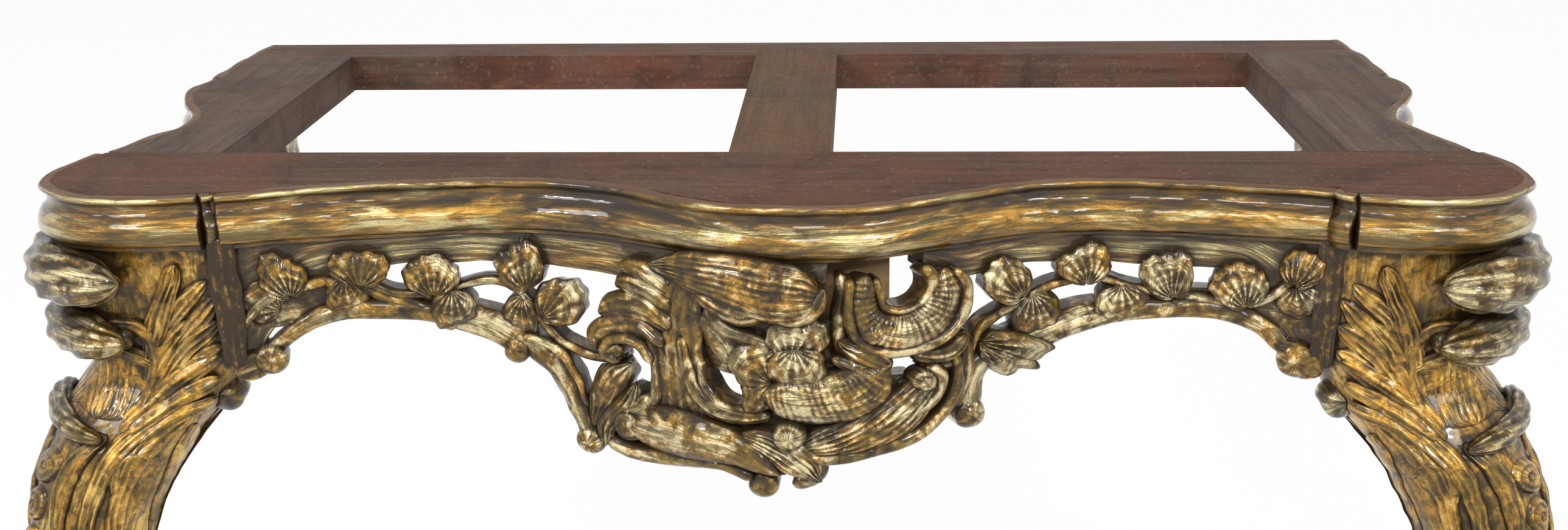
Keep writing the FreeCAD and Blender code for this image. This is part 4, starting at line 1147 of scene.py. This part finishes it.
def seen_on_leg(lattice, lift):
    """Angles and drops on the leg for points drawn on the flat sheet."""
    x, z = lattice[..., 0], lattice[..., 1]
    turn, drop = np.full_like(x, front_side), z.copy()
    for _ in range(search_steps):
        place = leg_surface(turn, drop, lift, leg_rows)
        back = (sheet - place[..., 1]) / (eye[1] - place[..., 1])
        seen = place + (eye - place) * back[..., None]
        turn = np.clip(turn + np.clip((x - seen[..., 0]) * 0.5, -12, 12), *turn_limits)
        drop = np.clip(drop + (z - seen[..., 2]) * 0.7, *drop_limits)
    return np.stack([turn, drop, lattice[..., 2]], -1)


def turned_over(drawing):
    """The same stroke on the other side of the leg's corner."""
    other = drawing.copy()
    other[..., 0] = 2 * corner - other[..., 0]
    return other


middle_seen = seen_on_leg(np.array([[680.0, -300.0, 0.0]]), 0.0)
print("a drawn point on the leg, in degrees and mm:", middle_seen[0, :2].round(1))

# %% [markdown]
# These are the strokes that the camera sees on the right leg: leaves that spread from the knee
# over the head, long bright ridges, a neck panel with upright flutes in a raised rim, and
# streams that run down the shin. Each row is again X, Z, half width and crown. All these bands
# were first drawn a little too narrow and too high, so one function corrects them together.

# %% Strokes of a leg
leg_wide, leg_flat = 1.2, 0.7


def leg_band(rows, back=10, **more):
    """A band of a leg: wider by `leg_wide` than its rows say, and flatter by `leg_flat`."""
    rows = [(x, z, round(half * leg_wide, 1), round(crown * leg_flat, 1))
            for x, z, half, crown in rows]
    return band(rows, back=back, **more)


seen_strokes = [
    # Leaves that spread from the knee up over the head
    leg_band([(643, -226, 6, 4), (630, -194, 11, 7), (616, -169, 12, 8), (599, -148, 10, 6),
              (584, -133, 5, 3)], lift=2, flutes=4, cut=1.3, columns=34),
    leg_band([(630, -222, 6, 4), (614, -190, 11, 7), (592, -162, 11, 8), (569, -144, 9, 6),
              (556, -134, 5, 3)], lift=2, flutes=4, cut=1.3, columns=34),
    leg_band([(622, -226, 6, 4), (598, -196, 10, 6), (573, -172, 11, 7), (556, -160, 6, 3)],
             lift=2, flutes=3, cut=1.3, columns=28),
    leg_band([(636, -190, 6, 4), (628, -156, 10, 7), (618, -128, 10, 8), (607, -104, 9, 7),
              (599, -84, 8, 6), (594, -72, 5, 3)], lift=3, flutes=4, cut=1.4, columns=34),
    leg_band([(618, -150, 6, 4), (599, -123, 9, 6), (581, -105, 8, 6), (565, -90, 4, 3)], lift=1,
             flutes=3, columns=28),
    leg_band([(614, -168, 5, 4), (590, -144, 8, 6), (568, -123, 8, 5), (556, -107, 4, 3)], lift=1,
             flutes=3, columns=28),
    # Long bright ridges that leave the knee towards the inner side
    leg_band([(668, -248, 7, 4), (640, -222, 8, 7), (610, -198, 8, 8), (580, -179, 7, 7),
              (562, -170, 4, 4)], flutes=2, columns=24),
    leg_band([(664, -258, 7, 4), (633, -235, 8, 7), (604, -216, 8, 8), (581, -205, 7, 7),
              (566, -196, 4, 4)], lift=5, flutes=2, columns=24),
    leg_band([(657, -270, 7, 4), (628, -247, 8, 6), (604, -233, 8, 7), (585, -226, 6, 6),
              (572, -218, 4, 3)], flutes=2, columns=24),
    # Neck panel with upright flutes, its raised rim, and the collar's lower edge
    leg_band([(672, -132, 20, 1), (676, -165, 23, 1), (684, -205, 25, 1), (700, -240, 20, 1)],
             lift=0.5, back=8, flutes=9, cut=0.8, columns=72, ends=(0.4, 0.4), tint=-0.15),
    leg_band([(698, -160, 4, 4), (684, -146, 6, 7), (663, -139, 7, 9), (644, -141, 7, 9),
              (631, -153, 7, 9), (628, -177, 7, 8), (634, -203, 7, 8), (650, -231, 6, 7),
              (674, -258, 5, 4)], lift=3, flutes=2, cut=0.8, columns=24),
    # Streams that run down the shin, and the bead along the inner edge
    leg_band([(553, -214, 5, 4), (567, -236, 7, 6), (589, -266, 8, 6), (610, -298, 7, 6),
              (628, -335, 7, 6), (640, -372, 6, 5), (648, -440, 5, 3)], lift=1, flutes=2, cut=0.7,
             columns=22),
    leg_band([(606, -222, 6, 4), (640, -246, 9, 6), (668, -268, 10, 7), (690, -294, 10, 7),
              (708, -325, 9, 6), (722, -360, 8, 6), (732, -410, 6, 4), (734, -460, 4, 2)], lift=3,
             flutes=3, cut=1.4, columns=28),
    leg_band([(602, -236, 6, 4), (634, -262, 9, 6), (658, -286, 10, 7), (677, -316, 9, 7),
              (690, -350, 8, 6), (700, -395, 7, 5), (704, -450, 4, 2)], lift=2, flutes=3, cut=1.4,
             columns=28),
    leg_band([(690, -262, 5, 4), (716, -282, 8, 6), (738, -310, 9, 6), (752, -345, 8, 6),
              (760, -385, 6, 5), (764, -430, 4, 2)], lift=2, flutes=3, cut=1.3, columns=28),
    leg_band([(596, -250, 4, 3), (615, -280, 6, 4), (632, -312, 6, 4), (648, -345, 6, 4),
              (662, -390, 5, 3), (670, -440, 3, 2)], lift=0.5, back=8, flutes=1, cut=0.5),
    leg_band([(640, -300, 4, 3), (652, -286, 6, 5), (672, -288, 7, 5), (684, -308, 7, 5),
              (688, -335, 5, 3)], lift=3, flutes=2, cut=0.9, columns=22),
]
print("strokes drawn on a leg:", len(seen_strokes))

# %% [markdown]
# Three long fluted rolls go round the outer corner of the head, one below the other, with beads
# at their front ends. Low knots with rings round them sit on the corner of the shin.

# %% Knots, rolls and beads
roll_flute = 0.07


def ring(turn, drop, wide, tall):
    """A low knot on the corner, with rings round it, and its tone."""
    lattice, tone, _ = knob(0, 0, 1.0, lift=1.0, crown=5.0, back=8.0, twist=0.0, cut=0.0)
    wave = np.cos(np.hypot(lattice[..., 0], lattice[..., 1]) * 2 * math.pi * 2.6)[:knob_rows]
    lattice[:knob_rows, :, 2] += 1.3 * wave
    lattice[..., 0] = turn + lattice[..., 0] * wide
    lattice[..., 1] = drop + lattice[..., 1] * tall
    # Painted shade: the tone is lower between the rings.
    tone[:knob_rows] = 0.6 + 0.4 * wave
    return lattice, tone


def head_roll(drop, reach, size, near, far, fall=0.0, least=0.65, middle=leg_middle):
    """A long fluted roll round the corner: thin at its front end, full at its side end."""
    turn = np.radians(np.linspace(near, far, 72))[:, None]
    side = np.radians(np.linspace(0, 360, 84, endpoint=False))[None, :]
    step = np.linspace(-1, 1, 72)[:, None]
    full = least + (1 - least) * np.sin(math.pi / 2 * np.clip((step + 1) / 1.1, 0, 1))
    thick = size * full * np.sqrt(np.clip(1.02 - np.abs(step) ** 6, 0.02, 1))
    flute = np.cos(side * 9 + turn * 9 + 0.8 * np.sin(turn * 7))
    flute = 0.8 * flute + 0.2 * np.cos(side * 5 - turn * 11)
    thick = thick * (1 + roll_flute * flute)
    away = reach - size * full + thick * np.cos(side)
    z = -drop + thick * np.sin(side) - fall * (0.5 - 0.5 * step) ** 1.3
    x = middle[0] + away * np.cos(turn)
    y = middle[1] + away * np.sin(turn)
    # Painted shade: the tone is lower in the grooves of the flutes.
    return np.stack([x, y, z], -1), 0.6 + 0.4 * flute


def bead(place, facing, size):
    """A round bead with a snail's groove."""
    fall = np.linspace(0.05, math.pi - 0.05, 24)[:, None]
    side = np.linspace(0, 2 * math.pi, 36, endpoint=False)[None, :]
    groove = 1 + 0.05 * np.cos(3 * side - fall * 5)
    out = np.array([math.cos(math.radians(facing)), math.sin(math.radians(facing))])
    flat = np.array([-out[1], out[0]])
    x = place[0] + size * groove * (np.cos(fall) * out[0] + np.sin(fall) * np.cos(side) * flat[0])
    y = place[1] + size * groove * (np.cos(fall) * out[1] + np.sin(fall) * np.cos(side) * flat[1])
    z = place[2] + size * groove * np.sin(fall) * np.sin(side)
    # Painted shade: the tone is lower in the snail's groove.
    return np.stack([x, y, z + 0 * x], -1), 0.55 + 0.4 * np.cos(3 * side - fall * 5)


rolls = [head_roll(86, 115, 31, -98, 22), head_roll(144, 104, 26, -94, 18, 8.0),
         head_roll(236, 117, 13, -76, 6, 16.0, 0.7),
         bead((660, -160, -90), -100, 13), bead((657, -151, -152), -100, 11),
         bead((579, -106, -226), -95, 24)]
print("rolls and beads of a leg:", len(rolls))

# %% [markdown]
# Down the rest of the leg run a few long flutes, from the knee to the ankle. These parts are
# below the picture, so they are kept simple, and the toe stays plain. What doesn't lie on the
# corner itself is turned over too.

# %% Flutes of the shin
on_corner = 3.0
round_strokes = [ring(corner, -285, 17, 17), ring(corner, -322, 15, 18), ring(corner, -362, 13, 18)]
flute, flute_tone, _ = band([(0, -430, 4, 2), (0, -520, 7, 3.2), (0, -620, 6, 3), (0, -720, 5, 2.6),
                             (0, -800, 3, 1.6)], lift=0.2, back=6, flutes=1, cut=0.6, spacing=5)
for turn in (-150, -126, -102, -78, -57):
    lattice = flute.copy()
    lattice[..., 0] = turn + flute[..., 0] * 1.25
    round_strokes.append((lattice, flute_tone))

leaf_drawings = []
for lattice, tone, lift in seen_strokes:
    drawing = seen_on_leg(lattice, lift)
    leaf_drawings += [(drawing, tone), (turned_over(drawing), tone)]
shin_drawings = []
for lattice, tone in round_strokes:
    shin_drawings.append((lattice, tone))
    if abs(lattice[..., 0].mean() - corner) > on_corner:
        shin_drawings.append((turned_over(lattice), tone))
print("leg strokes:", len(leaf_drawings) + len(shin_drawings))

# %% [markdown]
# Each front leg is made as three pieces: the block with its flutes and knots, the leaves, and
# the rolls with the beads. The rolls are darker, so they have a gilding of their own. In one
# piece the leg would also be too heavy, because a mesh here stays under 200,000 triangles.

# %% Make the legs


def on_leg(drawings):
    """The drawings laid on the body of the leg, with their tones."""
    return [(leg_surface(*(drawing[..., i] for i in range(3)), leg_rows), tone)
            for drawing, tone in drawings]


leg_block = [body(leg_rows), *on_leg(shin_drawings)]
make_both("leg_front", "carving", leg_block, gilt_leg)
make_both("leg_front", "leaves", on_leg(leaf_drawings), gilt_leg)
make_both("leg_front", "rolls", rolls, gilt_roll)

# %% [markdown]
# A wall carries the back of the table, so no leg stands there. A short carved bracket hangs
# under each side board instead, with the same rolls on its outer side and a snail at its
# front. It runs out into a tip.

# %% Rear brackets
bracket_middle = np.array([675.0, 262.0])
bracket_rows = smoothed(np.array([
    (-45.0, 668, 267, 46, 66, 6.0), (-95, 668, 267, 46, 65, 6.0), (-135, 666, 266, 45, 62, 5.0),
    (-165, 660, 264, 46, 55, 4.0), (-190, 656, 262, 43, 46, 3.0), (-215, 657, 262, 36, 37, 2.6),
    (-240, 663, 262, 27, 27, 2.2), (-258, 665, 262, 18, 18, 2.1), (-270, 665, 262, 10, 10, 2.0),
    (-274, 665, 262, 4, 4, 2.0)]), row_step)
bracket = [body(bracket_rows)]
leaf, leaf_tone, _ = band([(0, -160, 6, 2), (0, -190, 9, 3.5), (0, -225, 9, 3.5), (0, -262, 6, 2)],
                          back=6, flutes=2, cut=0.7)
for turn in (-130, -95, -60, -22, 22, 60, 95, 130):
    place = leg_surface(turn + leaf[..., 0] * 1.5, leaf[..., 1], leaf[..., 2] - 3, bracket_rows)
    bracket.append((place, leaf_tone))
bracket += [head_roll(89, 86, 30, -55, 55, least=0.9, middle=bracket_middle),
            head_roll(143, 69, 24, -55, 55, least=0.9, middle=bracket_middle),
            bead((630.5, 224, -79.5), -140, 29)]
make_both("rear_bracket", "carving", bracket, gilt_carving)

# %% [markdown]
# The sides have a shorter apron between the leg and the bracket, with a low arch and one spray
# of leaves. Behind the bracket only a plain frieze with a bead goes on to the wall. The
# photograph doesn't show these, so they repeat what the front has.

# %% Side aprons and rear friezes
slab_back = 26.0


def along_edge(rows):
    """A carrier for drawings whose X is the depth behind the opening's front edge."""
    line, out = plan_line(rows)

    def carry(drawing, _):
        y, z, proud = (drawing[..., i] for i in range(3))
        place = np.stack([np.interp(y, line[:, 1], line[:, i]) for i in range(2)], -1)
        normal = np.stack([np.interp(y, line[:, 1], out[:, i]) for i in range(2)], -1)
        return np.concatenate([place + normal * proud[..., None], z[..., None]], -1)
    return carry


def slab(near, far, edge):
    """A board under the rail, down to an edge given as rows."""
    x = np.linspace(near, far, 60)[:, None]
    low = np.interp(x, *np.transpose(edge))
    share = np.array([0.0, 0.4, 0.8, 0.95, 1.0, 1.0, 0.9, 0.0])
    proud = np.array([0.0, 0.0, 0.0, -1.0, -4.0, 3 - slab_back, -slab_back, -slab_back])
    z = frieze_top + share * (low - frieze_top)
    # Painted shade: the tone is lower at the top under the moulding, under the edge and on the back.
    tone = np.array([0.35, 0.45, 0.6, 0.6, 0.4, 0.2, 0.2, 0.2])
    return np.stack([x + 0 * share, z, proud + 0 * x], -1), np.broadcast_to(tone, z.shape), 0.0


side_strokes = [
    slab(-2.0, 204.0, [(0, -128), (30, -116), (70, -108), (100, -106), (130, -108), (170, -116),
                       (200, -128)]),
    band([(0, -144, 8, 6), (25, -130, 9, 7), (60, -118, 9, 7), (100, -113, 9, 7), (140, -118, 9, 7),
          (175, -130, 9, 7), (202, -144, 8, 6)], lift=2, back=26, flutes=2, cut=0.5),
    band([(15, -120, 4, 5), (50, -98, 5, 6), (85, -92, 5, 6), (115, -92, 5, 6), (150, -98, 5, 6),
          (188, -120, 4, 5)], lift=3, back=16),
    fan((100, -104), (100, -62), 9, lift=5, crown=8, back=14, wide=1.2),
    fan((70, -104), (50, -68), 8, lift=4, back=14),
    fan((130, -104), (150, -68), 8, lift=4, back=14),
    fan((40, -116), (14, -82), 8, lift=4, back=14),
    fan((160, -116), (186, -82), 8, lift=4, back=14),
    knob(100, -104, 8, lift=7, crown=5, back=14),
]
rear_strokes = [
    slab(336.0, 546.0, [(335, -90), (548, -90)]),
    band([(338, -84, 6, 5), (440, -84, 6, 5), (545, -84, 6, 5)], lift=0, back=20, spacing=5),
    band([(350, -74, 3, 3), (420, -70, 3.5, 4), (500, -74, 3.5, 4), (530, -68, 3, 3)], lift=1,
         back=10),
]
for stem, strokes, rows in (("side_apron", side_strokes, side_rows),
                            ("rear_frieze", rear_strokes, rear_rows)):
    make_both(stem, "carving", laid(strokes, along_edge(rows)), gilt_carving)

# %% [markdown]
